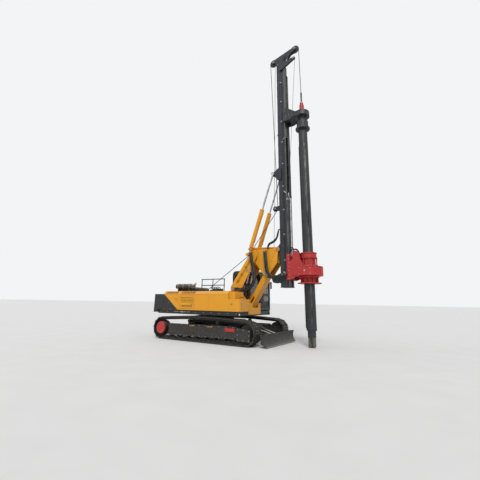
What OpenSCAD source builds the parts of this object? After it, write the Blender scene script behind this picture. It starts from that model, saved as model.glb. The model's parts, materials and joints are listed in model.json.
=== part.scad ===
// Crawler rotary piling rig: a tracked carrier with a luffing parallel linkage, a tilting
// mast, a crowd-driven rotary drive and a round telescopic kelly bar.
// Millimetres. X points forward, Y to the left, Z up from the ground. Every size below is
// written from the slewing axis, and the whole rig is moved by origin_x so that its frame
// stands under the middle of its outline.

/* [Tracks] */
// Width over both tracks
tracks_w = 2800; // [2600:10:3000]
// Width of one track shoe
shoe_w = 500; // [400:10:600]
// Height of the sprocket and idler centres above the ground
wheel_z = 420; // [410:1:430]
// Distance of the sprocket centre behind the slewing axis
sprocket_back = 1850; // [1750:5:1950]
// Distance of the idler centre ahead of the slewing axis
idler_ahead = 2070; // [2000:5:2120]
// Number of shoes on one track
shoe_count = 48; // [44:1:50]
// Thickness of a shoe plate
shoe_t = 16; // [10:1:20]
// Height of the grouser bars on a shoe
grouser_h = 26; // [16:1:34]
// Height of the track links inside the shoes
link_h = 84; // [70:1:90]
// Width of the link chain
link_w = 190; // [150:5:220]
// Radius of the carrier rollers
carrier_r = 60; // [50:1:66]
// Height by which the top run rises over the carrier rollers
hump_h = 65; // [40:1:80]

/* [Track frames] */
// Radius of the bottom rollers
roller_r = 75; // [65:1:85]
// Number of bottom rollers on one side
roller_count = 8; // [6:1:9]
// Width of the track frame beam
beam_w = 230; // [180:5:240]
// Height of the underside of the track frame beam
beam_z = 235; // [215:1:250]
// Height of the top of the track frame beam
beam_top_z = 590; // [540:5:620]
// Thickness of the outer guard plate
guard_t = 24; // [12:1:30]
// Radius of the round cap on the final drive
cap_r = 223; // [180:1:235]

/* [Carbody] */
// Half width of the centre box of the carbody
carbody_half_w = 620; // [560:5:660]
// Half length of the centre box of the carbody
carbody_half_l = 900; // [820:5:940]
// Height of the underside of the carbody
carbody_z = 430; // [400:5:450]
// Height of the top of the carbody
carbody_top_z = 780; // [740:5:800]
// Radius of the slewing ring
ring_r = 600; // [540:5:640]
// Radius of the hole in a tow eye
tow_r = 35; // [25:1:40]

/* [Blade] */
// Width of the dozer blade
blade_w = 2470; // [2300:10:2600]
// Height of the blade's hinge pins
blade_pivot_z = 430; // [420:1:440]
// Distance of the blade's hinge pins ahead of the slewing axis
blade_pivot_x = 1050; // [1030:1:1070]
// Distance of the top edge of the blade ahead of the slewing axis
blade_top_x = 2763; // [2740:1:2790]
// Height of the top edge of the blade
blade_top_z = 431; // [410:1:440]
// Height of the cutting edge above the ground
blade_edge_z = 24; // [15:1:40]
// Thickness of the blade plate
blade_t = 24; // [16:1:30]

/* [Upper frame] */
// Width of the upper frame
deck_w = 2500; // [2400:10:2560]
// Height of the underside of the upper frame
deck_z = 960; // [950:1:975]
// Thickness of the upper frame
deck_t = 155; // [120:1:170]
// Distance of the rear of the upper frame behind the slewing axis
deck_back = 2200; // [2100:5:2300]
// Distance of the front of the upper frame ahead of the slewing axis
deck_front = 1700; // [1650:5:1740]
// Distance of the rear of the counterweight behind the slewing axis
tail_back = 2430; // [2400:5:2480]
// Width of the bodywork
body_w = 2600; // [2500:10:2640]
// Height of the top edge of the body sides
side_top_z = 1715; // [1680:5:1750]
// Height of the top of the bodywork
body_top_z = 1830; // [1800:5:1850]
// Width of the sloping strip along the top of the body side
slope_w = 100; // [60:5:130]
// Distance of each body from the middle of the machine
body_inner_y = 520; // [500:5:560]
// Thickness of the doors
door_t = 25; // [15:1:30]
// Gap round the doors
door_gap = 8; // [5:1:10]

/* [Cab] */
// Distance of the cab's rear wall ahead of the slewing axis
cab_back_x = 350; // [330:5:380]
// Distance of the cab's front ahead of the slewing axis
cab_front_x = 1700; // [1650:5:1740]
// Height of the top of the cab
cab_top_z = 2720; // [2650:5:2800]
// Thickness of the cab walls
cab_wall = 40; // [30:1:50]
// Thickness of the window glass
glass_t = 8; // [5:1:12]

/* [Linkage] */
// Distance of the boom's foot pin ahead of the slewing axis
boom_foot_x = 1020; // [1000:1:1040]
// Height of the boom's foot pin
boom_foot_z = 1950; // [1940:1:1960]
// Forward reach of the boom from its foot pin to its head pin
boom_dx = 800; // [790:1:810]
// Rise of the boom from its foot pin to its head pin
boom_dz = 1280; // [1270:1:1290]
// Distance of the link's foot pin ahead of the slewing axis
link_foot_x = 1500; // [1490:1:1510]
// Height of the link's foot pin
link_foot_z = 1220; // [1210:1:1230]
// Distance of the mast's tilt pin ahead of the slewing axis
mast_pin_x = 2800; // [2795:1:2810]
// Height of the mast's tilt pin
mast_pin_z = 3400; // [3390:1:3410]
// Distance of the mast cylinders' lower pins ahead of the slewing axis
prop_foot_x = 1670; // [1660:1:1680]
// Height of the mast cylinders' lower pins
prop_foot_z = 3470; // [3460:1:3480]
// Thickness of the boom's side plates
plate_t = 30; // [20:1:36]
// Radius of the linkage pins
pin_r = 45; // [35:1:50]

/* [Mast] */
// Height of the foot of the mast
mast_foot_z = 1980; // [1940:5:2020]
// Height of the top of the mast tube
mast_top_z = 11800; // [11000:50:12500]
// Distance of the mast's rear face ahead of the slewing axis
mast_back_x = 2900; // [2890:1:2910]
// Depth of the mast tube
mast_d = 320; // [280:5:330]
// Width of the mast tube
mast_w = 390; // [350:5:396]
// Wall of the mast tube
mast_wall = 14; // [8:1:20]
// Thickness of the guide rails on the mast's front
rail_t = 30; // [20:1:36]
// Width over both guide rails
rail_span = 470; // [440:2:474]
// Height of the mast cylinders' rod pins
prop_head_z = 6480; // [6450:5:6510]

/* [Drive] */
// Distance of the kelly's axis ahead of the slewing axis
kelly_x = 3930; // [3900:5:3960]
// Radius of the round front of the gearbox
gearbox_r = 480; // [440:5:500]
// Height of the underside of the gearbox
gearbox_z = 2380; // [2340:5:2400]
// Height of the top of the gearbox
gearbox_top_z = 2700; // [2680:5:2740]
// Height of the top of the collar above the gearbox
collar_top_z = 3200; // [3150:5:3220]
// Inner radius of the rotating sleeve
sleeve_in_r = 212; // [208:1:216]
// Outer radius of the rotating sleeve
sleeve_r = 250; // [240:1:254]
// Radius of the casing flange under the drive
flange_r = 420; // [400:5:430]
// Thickness of the casing flange
flange_t = 30; // [20:1:40]
// Radius of the circle of bolts in the casing flange
flange_bolt_r = 380; // [360:5:385]
// Radius of a bolt hole in the casing flange
flange_hole_r = 14; // [10:1:16]
// Number of bolt holes in the casing flange
flange_holes = 12; // [8:1:16]

/* [Kelly] */
// Outer radius of the outer kelly tube
kelly_r = 177; // [170:1:180]
// Wall of the outer kelly tube
kelly_wall = 16; // [10:1:20]
// Height of the lower end of the outer kelly tube
kelly_foot_z = 550; // [500:5:600]
// Height of the damper ring near the top of the kelly
damper_z = 8300; // [8200:10:8350]
// Width across the flats of the kelly stub
stub_w = 200; // [180:2:210]
// Height of the lower end of the kelly stub above the ground
stub_z = 24; // [15:1:60]
// Radius of the hole for the tool pin in the kelly stub
stub_pin_r = 32; // [25:1:36]

/* [Hidden] */

// Paint and metal colours
yellow = "#D9981A";
red = "#B3302C";
mast_dark = "#2F353A";
black = "#26282A";
track_grey = "#33332F";
steel = "#B9BDC0";
glass_tint = "#5E6B72";
seat_grey = "#3A3A3C";
rubber = "#1E1E1F";

// The frame's origin, under the middle of the outline
origin_x = (kelly_x + gearbox_r - tail_back) / 2;

// Running clearances: a pin in its eye, a guide on its rail, and a free gap
fit = 0.4;
slip = 0.3;
gap = 8;

// Track sizes that follow
track_y = (tracks_w - shoe_w) / 2;
plate_r = wheel_z - grouser_h;
carrier_xs = [-550, 800];
carrier_z = wheel_z + plate_r + hump_h - (carrier_r + link_h + shoe_t);
carrier_run_r = carrier_r + link_h + shoe_t;
carrier_play = 7;

function dir(a) = [cos(a), sin(a)];
function turn(a) = a - 360 * floor(a / 360);

// Outward normal of the straight run from round a to round b, each [x, z, radius]
function run_normal(a, b) =
    atan2(b[1] - a[1], b[0] - a[0]) + 90 + asin((b[2] - a[2]) / norm([b[0] - a[0], b[1] - a[1]]));

// Outline of a band drawn tight round the rounds, which are listed clockwise
function band(rounds, step = 15) =
    let (n = len(rounds))
    [for (i = [0:n - 1])
        let (c = rounds[i],
             a0 = run_normal(rounds[(i + n - 1) % n], c),
             sweep = turn(a0 - run_normal(c, rounds[(i + 1) % n])),
             m = c[2] > 0 ? ceil(sweep / step) : 0)
        for (k = [0:m])
            [c[0], c[1]] + c[2] * dir(a0 - (m > 0 ? sweep * k / m : 0))];

// A plate or block cut to an outline in the side view, between y0 and y1
module side_cut(points, y0, y1)
    translate([0, y1, 0]) rotate([90, 0, 0]) linear_extrude(y1 - y0) polygon(points);

// A block from its low to its high corner
module block(low, high)
    translate(low) cube(high - low);

// A round bar along Y at a place in the side view, between y0 and y1
module cross_bar(at, r, y0, y1)
    translate([at[0], y0, at[1]]) rotate([-90, 0, 0]) cylinder(h = y1 - y0, r = r, $fn = 48);

// A round bar in the side plane, pointing at angle a above forward, from distance d0 to d1
module lean_bar(at, a, r, d0, d1, y = 0)
    translate([at[0], y, at[1]]) rotate([0, 90 - a, 0]) translate([0, 0, d0])
        cylinder(h = d1 - d0, r = r, $fn = 40);

// The same on both sides of the machine
module both_sides() {
    children();
    mirror([0, 1, 0]) children();
}

// A piece moved from the slewing axis to the frame's origin
module placed()
    translate([-origin_x, 0, 0]) children();

// The track's run, clockwise: sprocket, carrier rollers, idler
run_rounds = [[-sprocket_back, wheel_z, plate_r],
    [carrier_xs[0], carrier_z, carrier_run_r],
    [carrier_xs[1], carrier_z, carrier_run_r],
    [idler_ahead, wheel_z, plate_r]];

// Stretches of the run: [length, is it an arc, start or centre, normal at its start, radius]
run_stretches = let (n = len(run_rounds)) [for (i = [0:n - 1])
    let (c = run_rounds[i], d = run_rounds[(i + 1) % n],
         a0 = run_normal(run_rounds[(i + n - 1) % n], c), a1 = run_normal(c, d))
    for (arc = [true, false])
        arc ? [c[2] * turn(a0 - a1) * PI / 180, true, [c[0], c[1]], a0, c[2]]
            : [sqrt(pow(norm([d[0] - c[0], d[1] - c[1]]), 2) - pow(d[2] - c[2], 2)), false,
               [c[0], c[1]] + c[2] * dir(a1), a1, 0]];

function total(v, i = 0) = i < len(v) ? v[i][0] + total(v, i + 1) : 0;
function run_point(s, i = 0) =
    let (q = run_stretches[i])
    s > q[0] && i < len(run_stretches) - 1 ? run_point(s - q[0], i + 1)
    : q[1] ? q[2] + q[4] * dir(q[3] - s / q[4] * 180 / PI)
    : q[2] + s * dir(q[3] - 90);

shoe_pitch = total(run_stretches) / shoe_count;
pins = [for (k = [0:shoe_count - 1]) run_point(k * shoe_pitch)];
// Wheels inside the links clear the flats between the pins
wheel_play = 3;
link_r = (plate_r - shoe_t - link_h) * cos(shoe_pitch / plate_r * 90 / PI) - wheel_play;

// One shoe's outer face, as [share of the pitch, height]: a seam, then three grouser bars
grouser_base = 0.068;
grouser_tip = 0.034;
seam_d = 9;
shoe_face = concat([[0, -seam_d]], [for (m = [0.10, 0.50, 0.90])
    for (q = [[-grouser_base, 0], [-grouser_tip, 1], [grouser_tip, 1], [grouser_base, 0]])
        [m + q[0], q[1] * grouser_h]]);

// Outline of all the shoes, and the same run moved inward by a depth
shoe_outline = [for (k = [0:shoe_count - 1])
    let (a = pins[k], b = pins[(k + 1) % shoe_count], t = (b - a) / norm(b - a), u = [-t[1], t[0]])
    for (q = shoe_face) a + q[0] * norm(b - a) * t + q[1] * u];
function inner_run(depth) = [for (k = [0:shoe_count - 1])
    let (a = pins[(k + shoe_count - 1) % shoe_count], b = pins[(k + 1) % shoe_count],
         t = (b - a) / norm(b - a))
    pins[k] - depth * [-t[1], t[0]]];

module track() placed() color(track_grey) {
    difference() {
        side_cut(shoe_outline, track_y - shoe_w / 2, track_y + shoe_w / 2);
        side_cut(inner_run(shoe_t), track_y - shoe_w, track_y + shoe_w);
    }
    difference() {
        side_cut(inner_run(shoe_t - 4), track_y - link_w / 2, track_y + link_w / 2);
        side_cut(inner_run(shoe_t + link_h), track_y - link_w, track_y + link_w);
    }
}

module track_left() track();
module track_right() mirror([0, 1, 0]) track();

// Rollers stand on the inner face of the links
roller_z = grouser_h + shoe_t + link_h + roller_r + slip;
roller_x0 = -1420;
roller_x1 = 1560;
beam_y0 = track_y - beam_w / 2;
beam_y1 = track_y + beam_w / 2;
guard_y = beam_y1 + 41;

module track_frame() placed() {
    color(black) {
        // Main beam, with a sloping tail towards the final drive
        side_cut([[-1480, 330], [-1380, beam_z], [1700, beam_z], [1700, beam_top_z - 20],
            [800, beam_top_z], [-1480, beam_top_z - 40]], beam_y0, beam_y1);
        // Carrier roller posts
        for (x = carrier_xs)
            block([x - 40, track_y - 40, beam_top_z - 60], [x + 40, track_y + 40, carrier_z - 25]);
        // Guard plate along the outside, and the deeper box at the idler
        side_cut([[-1470, 175], [1700, 215], [1700, 615], [-1470, 600]], beam_y1 - 1, guard_y + guard_t);
        side_cut([[1728, 155], [2270, 155], [2270, 540], [1728, 575]], guard_y, guard_y + guard_t + 14);
        block([1690, beam_y1 - 1, 240], [1740, guard_y + guard_t, 560]);
        // Stiffening strips on the guard plate
        side_cut([[-1470, 560], [1700, 575], [1700, 600], [-1470, 585]], guard_y + guard_t - 1, guard_y + guard_t + 14);
        side_cut([[-1470, 175], [1700, 215], [1700, 240], [-1470, 200]], guard_y + guard_t - 1, guard_y + guard_t + 14);
        // Inner cheek that carries the idler
        block([1600, beam_y0 - 20, 330], [2160, beam_y0 + 12, 520]);
    }
    color(track_grey) {
        for (k = [0:roller_count - 1])
            let (x = roller_x0 + (roller_x1 - roller_x0) * k / (roller_count - 1))
            cross_bar([x, roller_z], roller_r, track_y - 100, track_y + 100);
        for (x = carrier_xs)
            cross_bar([x, carrier_z], carrier_r - carrier_play, track_y - 70, track_y + 70);
    }
}

module track_frame_left() track_frame();
module track_frame_right() mirror([0, 1, 0]) track_frame();

// Final drive: the sprocket between the links, its housing and the round outer cap
cap_y = guard_y + guard_t + 30;
cap_t = 36;
module sprocket() placed() {
    color(track_grey) {
        cross_bar([-sprocket_back, wheel_z], link_r - slip, track_y - 40, track_y + 40);
        cross_bar([-sprocket_back, wheel_z], cap_r + 12, beam_y0, cap_y);
        block([-sprocket_back, beam_y0, wheel_z - 90], [-1480 - slip, beam_y0 + 90, wheel_z + 90]);
    }
    color(red)
        cross_bar([-sprocket_back, wheel_z], cap_r, cap_y, cap_y + cap_t);
}

module sprocket_left() sprocket();
module sprocket_right() mirror([0, 1, 0]) sprocket();

// Idler: a wheel on the links, on an axle that reaches its cheek and the front box
module idler() placed() color(track_grey) {
    cross_bar([idler_ahead, wheel_z], link_r - slip, track_y - 60, track_y + 60);
    cross_bar([idler_ahead, wheel_z], 80, beam_y0 + 12 + slip, guard_y - slip);
}

module idler_left() idler();
module idler_right() mirror([0, 1, 0]) idler();

// Carbody: centre box, four legs to the track frames, ring seat, blade ears and tow eyes
leg_xs = [[-760, -360], [360, 760]];
blade_arm_y = 330;
blade_arm_w = 70;
ear_t = 40;
blade_ear_y = blade_arm_y + blade_arm_w / 2 + gap;
blade_cyl_y = 180;
blade_cyl_foot = [1050, 735];
tow_at = [-carbody_half_l - 90, 520];
tow_y = 325;
tow_t = 50;

module chassis() placed() color(black) {
    block([-carbody_half_l, -carbody_half_w, carbody_z], [carbody_half_l, carbody_half_w, carbody_top_z]);
    translate([0, 0, carbody_top_z - 1]) cylinder(h = 101, r = ring_r + 30, $fn = 72);
    both_sides() {
        for (x = leg_xs)
            side_cut([[x[0], carbody_z], [x[1], carbody_z], [x[1] - 30, 640], [x[0] + 30, 640]],
                carbody_half_w - 1, beam_y0 - slip);
        // Ears for the blade arms
        for (y = [blade_ear_y, blade_arm_y - blade_arm_w / 2 - gap - ear_t])
            difference() {
                side_cut(band([[carbody_half_l - 40, blade_pivot_z + 75, 75],
                    [blade_pivot_x, blade_pivot_z, 80], [carbody_half_l - 40, blade_pivot_z, 0]]),
                    y, y + ear_t);
                cross_bar([blade_pivot_x, blade_pivot_z], pin_r, y - 1, y + ear_t + 1);
            }
        cross_bar([blade_pivot_x, blade_pivot_z], pin_r, blade_arm_y - blade_arm_w / 2 - gap - ear_t - 15,
            blade_ear_y + ear_t + 15);
        // Ears for the blade cylinders
        for (y = [blade_cyl_y - 45 - 30, blade_cyl_y + 45])
            side_cut(band([[carbody_half_l - 30, blade_cyl_foot[1], 45],
                [blade_cyl_foot[0], blade_cyl_foot[1], 45], [carbody_half_l - 30, 640, 20]]), y, y + 30);
        cross_bar(blade_cyl_foot, 28, blade_cyl_y - 75, blade_cyl_y + 75);
        // Tow eyes at the rear
        difference() {
            translate([0, 0, tow_at[1] - tow_t / 2]) linear_extrude(tow_t)
                polygon(band([[tow_at[0], tow_y, 80], [-carbody_half_l + 10, tow_y + 120, 20],
                    [-carbody_half_l + 10, tow_y - 120, 20]]));
            translate([tow_at[0], tow_y, carbody_z]) cylinder(h = 200, r = tow_r, $fn = 48);
        }
    }
}

ring_z0 = carbody_top_z + 100;
module slew_ring() placed() color(steel)
    translate([0, 0, ring_z0]) difference() {
        cylinder(h = deck_z - slip - ring_z0, r = ring_r, $fn = 96);
        translate([0, 0, -1]) cylinder(h = 200, r = ring_r - 90, $fn = 96);
    }

// Dozer blade: a curved mouldboard, end plates and two push arms
blade_bow = 62;
blade_h = blade_top_z - blade_edge_z;
blade_edge_x = blade_top_x + 50;
// The mouldboard's section, hollow to the front, as share of the height
function mould(s, off) = [blade_edge_x + (blade_top_x - blade_edge_x) * s - blade_bow * 4 * s * (1 - s) - off,
    blade_edge_z + blade_h * s];
mould_steps = 8;
blade_rod_eye = [2560, 330];

module blade() placed() color(track_grey) {
    side_cut(concat([for (i = [0:mould_steps]) mould(i / mould_steps, 0)],
        [for (i = [mould_steps:-1:0]) mould(i / mould_steps, blade_t)]), -blade_w / 2, blade_w / 2);
    // Stiffening box behind the mouldboard
    side_cut([[2625, 150], [2712, 130], [2712, 350], [2640, 350], [2625, 320]], -blade_w / 2 + 90, blade_w / 2 - 90);
    // Cutting edge
    side_cut([mould(0, 0) + [14, 0], mould(0.2, -14), mould(0.2, 1), mould(0, 1)], -blade_w / 2 + 10, blade_w / 2 - 10);
    both_sides() {
        for (y = [560, 820])
            side_cut([[blade_top_x - 130, blade_top_z - 30], [2700, 130], [2630, 150], [2610, 300]], y, y + 16);
        side_cut(concat([for (i = [0:mould_steps]) mould(i / mould_steps, 0)],
            [[blade_top_x - 190, blade_top_z - 20], [blade_edge_x - 200, blade_edge_z + 90]]),
            blade_w / 2 - 20, blade_w / 2);
        // Push arm
        difference() {
            side_cut(band([[blade_pivot_x, blade_pivot_z, 75], [2600, 270, 70], [2600, 200, 50]]),
                blade_arm_y - blade_arm_w / 2, blade_arm_y + blade_arm_w / 2);
            cross_bar([blade_pivot_x, blade_pivot_z], pin_r + fit, blade_arm_y - 60, blade_arm_y + 60);
        }
        // Lugs for the cylinder rods
        for (y = [blade_cyl_y - 35 - gap - 22, blade_cyl_y + 35 + gap])
            side_cut(band([[blade_rod_eye[0], blade_rod_eye[1], 50], [2640, 320, 20], [2640, 200, 20]]), y, y + 22);
    }
}

// Hydraulic cylinder: the barrel with its foot eye, from its foot pin along angle a
module barrel(foot, a, y, r, rod_r, length, eye_r, eye_w, foot_pin_r) {
    difference() {
        union() {
            cross_bar(foot, eye_r, y - eye_w / 2, y + eye_w / 2);
            lean_bar(foot, a, eye_w / 2 - 2, eye_r * 0.6, eye_r + 14, y);
            lean_bar(foot, a, r, eye_r + 12, length, y);
        }
        cross_bar(foot, foot_pin_r + fit, y - eye_w, y + eye_w);
        lean_bar(foot, a, rod_r + fit, eye_r + 40, length + 1, y);
    }
}

// The rod with its eye at distance reach from the foot pin, and the eye's pin heads
module rod(foot, a, y, rod_r, reach, length, eye_r, eye_w) {
    lean_bar(foot, a, rod_r, reach - length, reach, y);
    cross_bar([foot[0], foot[1]] + reach * dir(a), eye_r, y - eye_w / 2, y + eye_w / 2);
}

// Length and angle from a foot pin to a rod eye
function reach_of(foot, eye) = norm([eye[0] - foot[0], eye[1] - foot[1]]);
function lean_of(foot, eye) = atan2(eye[1] - foot[1], eye[0] - foot[0]);

blade_barrel_l = 1000;
blade_rod_l = 860;
module blade_barrels() placed() color(black)
    for (y = [-blade_cyl_y, blade_cyl_y])
        barrel(blade_cyl_foot, lean_of(blade_cyl_foot, blade_rod_eye), y, 46, 26, blade_barrel_l, 46, 80, 28);
module blade_rods() placed() color(steel)
    for (y = [-blade_cyl_y, blade_cyl_y])
        rod(blade_cyl_foot, lean_of(blade_cyl_foot, blade_rod_eye), y, 26,
            reach_of(blade_cyl_foot, blade_rod_eye), blade_rod_l, 45, 66);

// Upper frame: the deck, and the bulkhead ahead of the engine bay
deck_top = deck_z + deck_t;
bulkhead_x = -960;
module platform() placed() color(black) {
    block([-deck_back, -deck_w / 2, deck_z], [deck_front, deck_w / 2, deck_top]);
    for (x = [bulkhead_x, hood_x0 - 8])
        block([x, -body_inner_y + slip, deck_top - 1], [x + 16, body_inner_y - slip, body_top_z]);
}

// Counterweight across the tail
tail_front_x = -1910;
tail_z = 1000;
module counterweight() placed() color(black)
    difference() {
        block([-tail_back, -body_w / 2, tail_z], [tail_front_x, body_w / 2, side_top_z]);
        block([-deck_back - 1, -deck_w, deck_z - 1], [tail_front_x + 1, deck_w, deck_top]);
    }

// Black slanting panels ahead of the counterweight
slant_top_x = -1905;
slant_low_x = -1100;
panel_t = 30;
module side_panels() placed() color(black)
    both_sides()
        side_cut([[slant_top_x, deck_top + slip], [slant_low_x, deck_top + slip], [slant_top_x, side_top_z]],
            body_w / 2 - panel_t, body_w / 2);

// Section of a body seen from the rear, from the middle outwards: [y, z]
function body_section(inner_y, outer_y, top_z) = [[inner_y, deck_top], [outer_y, deck_top],
    [outer_y, side_top_z], [outer_y - slope_w, top_z], [inner_y, top_z]];

// A body built along X from its section
module body_run(section, x0, x1)
    translate([x0, 0, 0]) rotate([90, 0, 90]) linear_extrude(x1 - x0) polygon(section);

// Service bay behind a door: [rear x, front x], heights and depth
bay_z0 = 1180;
bay_z1 = 1670;
bay_d = 420;
right_bay = [-960, -300];
left_bay = [-960, -300];
body_front_x = 1310;
seam_xs = [-1040, -240, 420];
vent_d = 30;
left_front_x = 330;

// Cuts for the slanting panel, a bay and its door on one body side
module body_side_cuts(bay) {
    side_cut([[slant_top_x - 10, deck_top - 1], [slant_low_x + door_gap, deck_top - 1],
        [slant_top_x + door_gap, side_top_z + 1], [slant_top_x - 10, side_top_z + 1]],
        body_w / 2 - panel_t - slip, body_w / 2 + 1);
    block([bay[0], body_w / 2 - bay_d, bay_z0], [bay[1], body_w / 2 + 1, bay_z1]);
    block([bay[0] - 16, body_w / 2 - door_t - gap, bay_z0 - 16], [bay[1] + 16, body_w / 2 + 1, bay_z1 + 16]);
    // Panel seams and the line under the sloping strip
    for (x = seam_xs)
        block([x, body_w / 2 - 7, deck_top - 1], [x + 7, body_w / 2 + 1, side_top_z + 1]);
    block([slant_top_x - 10, body_w / 2 - 6, side_top_z - 6], [body_front_x + 1, body_w / 2 + 1, side_top_z]);
    // Small louvres beside the slanting panel
    for (row = [0:3], k = [0:row])
        block([-1160 - k * 66, body_w / 2 - 14, 1400 + row * 46], [-1116 - k * 66, body_w / 2 + 1, 1418 + row * 46]);
}

// Framed vents on the sloping strip: [rear x, front x]
slope_a = atan2(body_top_z - side_top_z, slope_w);
slope_l = norm([body_top_z - side_top_z, slope_w]);
vents = [[-1800, -1130], [-960, -240]];
module slope_cuts()
    for (v = vents)
        translate([0, body_w / 2, side_top_z]) rotate([180 - slope_a, 0, 0]) mirror([0, 0, 1])
            block([v[0], 22, -vent_d], [v[1], slope_l - 22, 40]);
module slope_slats()
    for (v = vents)
        translate([0, body_w / 2, side_top_z]) rotate([180 - slope_a, 0, 0]) mirror([0, 0, 1])
            for (k = [0:8])
                let (x = v[0] + (v[1] - v[0]) * (k + 0.5) / 9)
                block([x - 9, 21, -vent_d - 1], [x + 9, slope_l - 21, -3]);

module body_side(bay, x1) {
    difference() {
        body_run(body_section(body_inner_y, body_w / 2, body_top_z), tail_front_x + slip, x1);
        body_side_cuts(bay);
        slope_cuts();
    }
    slope_slats();
}
module right_housing() placed() color(yellow)
    mirror([0, 1, 0]) body_side(right_bay, body_front_x);

module left_housing() placed() color(yellow)
    body_side(left_bay, left_front_x);

// Doors over the service bays, hinged along their rear edge
hinge_r = 11;
module bay_door(bay) {
    difference() {
        block([bay[0] - 16 + door_gap, body_w / 2 - door_t, bay_z0 - 16 + door_gap],
            [bay[1] + 16 - door_gap, body_w / 2, bay_z1 + 16 - door_gap]);
        // Louvres in rows, long slots below them and the recess of the latch
        for (row = [0:3], k = [0:8])
            block([bay[0] + 26 + k * 69, body_w / 2 - door_t - 1, 1400 + row * 56],
                [bay[0] + 78 + k * 69, body_w / 2 + 1, 1422 + row * 56]);
        for (row = [0:2])
            block([bay[0] + 60, body_w / 2 - door_t - 1, 1225 + row * 30], [bay[1] - 60, body_w / 2 + 1, 1237 + row * 30]);
        block([bay[1] - 120, body_w / 2 - 12, 1320], [bay[1] - 30, body_w / 2 + 1, 1352]);
    }
    for (z = [bay_z0 + 60, bay_z1 - 140])
        translate([bay[0] - 16, body_w / 2 + hinge_r + slip, z]) {
            cylinder(h = 80, r = hinge_r, $fn = 24);
            translate([door_gap, -hinge_r - 1, 0]) cube([30, hinge_r + 1, 80]);
        }
}
module right_door() placed() color(yellow) mirror([0, 1, 0]) bay_door(right_bay);
module left_door() placed() color(yellow) bay_door(left_bay);

// Fuel tank in front of the right body, with a rounded front corner
tank_front_x = 1800;
tank_top_z = 1545;
tank_r = 180;
module front_tank() placed() color(yellow) {
    difference() {
        translate([0, 0, deck_top]) linear_extrude(tank_top_z - deck_top) polygon(band([
            [body_front_x + slip, -body_w / 2, 0], [body_front_x + slip, -body_inner_y - 40, 0],
            [tank_front_x - 40, -body_inner_y - 80, 40], [tank_front_x - tank_r, -body_w / 2 + tank_r, tank_r]]));
        block([1400, -body_w / 2 - 1, 1340], [1490, -body_w / 2 + 14, 1368]);
        block([body_front_x, -body_w / 2 - 1, 1200], [1600, -body_w / 2 + 5, 1206]);
    }
    block([body_front_x + slip, -1210, tank_top_z - 1], [1560, -640, body_top_z - 30]);
    translate([1660, -900, tank_top_z - 1]) cylinder(h = 46, r = 52, $fn = 40);
}

// Diesel engine, one plain block at its place
module engine_block() placed() color(track_grey)
    block([-1780, -340, deck_top], [-1040, 340, 1760]);

// Engine cover, hinged along its rear edge
hood_x0 = -1890;
hood_x1 = bulkhead_x + 10;
hood_top_z = 2030;
hood_wall = 20;
module hood() placed() color(black) {
    difference() {
        side_cut(band([[hood_x0, body_top_z + slip, 0], [hood_x0 + 60, hood_top_z - 60, 60],
            [hood_x1 - 120, hood_top_z - 120, 120], [hood_x1, body_top_z + slip, 0]]), -500, 500);
        side_cut(band([[hood_x0 + hood_wall, body_top_z - 1, 0], [hood_x0 + 60, hood_top_z - 60, 60 - hood_wall],
            [hood_x1 - 120, hood_top_z - 120, 120 - hood_wall], [hood_x1 - hood_wall, body_top_z - 1, 0]]),
            -500 + hood_wall, 500 - hood_wall);
        for (k = [0:10])
            block([hood_x0 + 120 + k * 64, -501, 1880], [hood_x0 + 150 + k * 64, 501, 1960]);
    }
    // Hinge knuckles along the rear edge
    both_sides() {
        cross_bar([hood_x0 - hinge_r - slip, body_top_z + hinge_r + slip], hinge_r, 380, 460);
        block([hood_x0 - hinge_r, 380, body_top_z + 2], [hood_x0 + 1, 460, body_top_z + 2 * hinge_r]);
    }
    // Raised air intake
    block([hood_x0 + 420, -300, hood_top_z - 1], [hood_x0 + 640, -80, hood_top_z + 90]);
}

// Silencer lying along the right body, and its tail pipe
silencer_y = -660;
silencer_z = 2050;
module silencer() placed() color(steel) {
    translate([-1800, silencer_y, silencer_z]) rotate([0, 90, 0]) cylinder(h = 850, r = 95, $fn = 48);
    for (x = [-1700, -1100])
        block([x, silencer_y - 60, body_top_z + slip], [x + 60, silencer_y + 60, silencer_z - 60]);
    translate([-955, silencer_y, silencer_z + 30]) rotate([0, 70, 0]) cylinder(h = 230, r = 42, $fn = 36);
}

// Handrail along the inner edge of the right body
rail_r = 17;
rail_x0 = -480;
rail_x1 = 640;
handrail_y = -600;
handrail_z = 2320;
module handrails() placed() color(black) {
    for (x = [rail_x0, (rail_x0 + rail_x1) / 2, rail_x1])
        translate([x, handrail_y, body_top_z]) cylinder(h = handrail_z - body_top_z, r = rail_r, $fn = 24);
    for (z = [2080, handrail_z])
        translate([rail_x0, handrail_y, z]) rotate([0, 90, 0]) cylinder(h = rail_x1 - rail_x0, r = rail_r, $fn = 24);
}

// Control valves on a stand behind the boom foot
module valve_bank() placed() color(track_grey) {
    block([-120, -470, deck_top], [420, -330, 1720]);
    for (k = [0:5])
        block([-110 + k * 88, -490, 1719], [-40 + k * 88, -310, 1900 + (k % 2) * 40]);
}

// Main winch behind the boom foot
winch_at = [-633, 1676];
winch_w = 520;
module main_winch() placed() {
    color(black) {
        cross_bar(winch_at, 200, -winch_w / 2, winch_w / 2);
        for (y = [-winch_w / 2, winch_w / 2 - 26])
            cross_bar(winch_at, 250, y, y + 26);
        for (s = [-1, 1])
            side_cut(band([[winch_at[0] - 220, deck_top, 0], [winch_at[0], winch_at[1], 90],
                [winch_at[0] + 220, deck_top, 0]]), s > 0 ? winch_w / 2 + gap : -winch_w / 2 - gap - 40,
                s > 0 ? winch_w / 2 + gap + 40 : -winch_w / 2 - gap);
        cross_bar(winch_at, 70, -winch_w / 2 - gap - 20, winch_w / 2 + gap + 20);
    }
}

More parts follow.
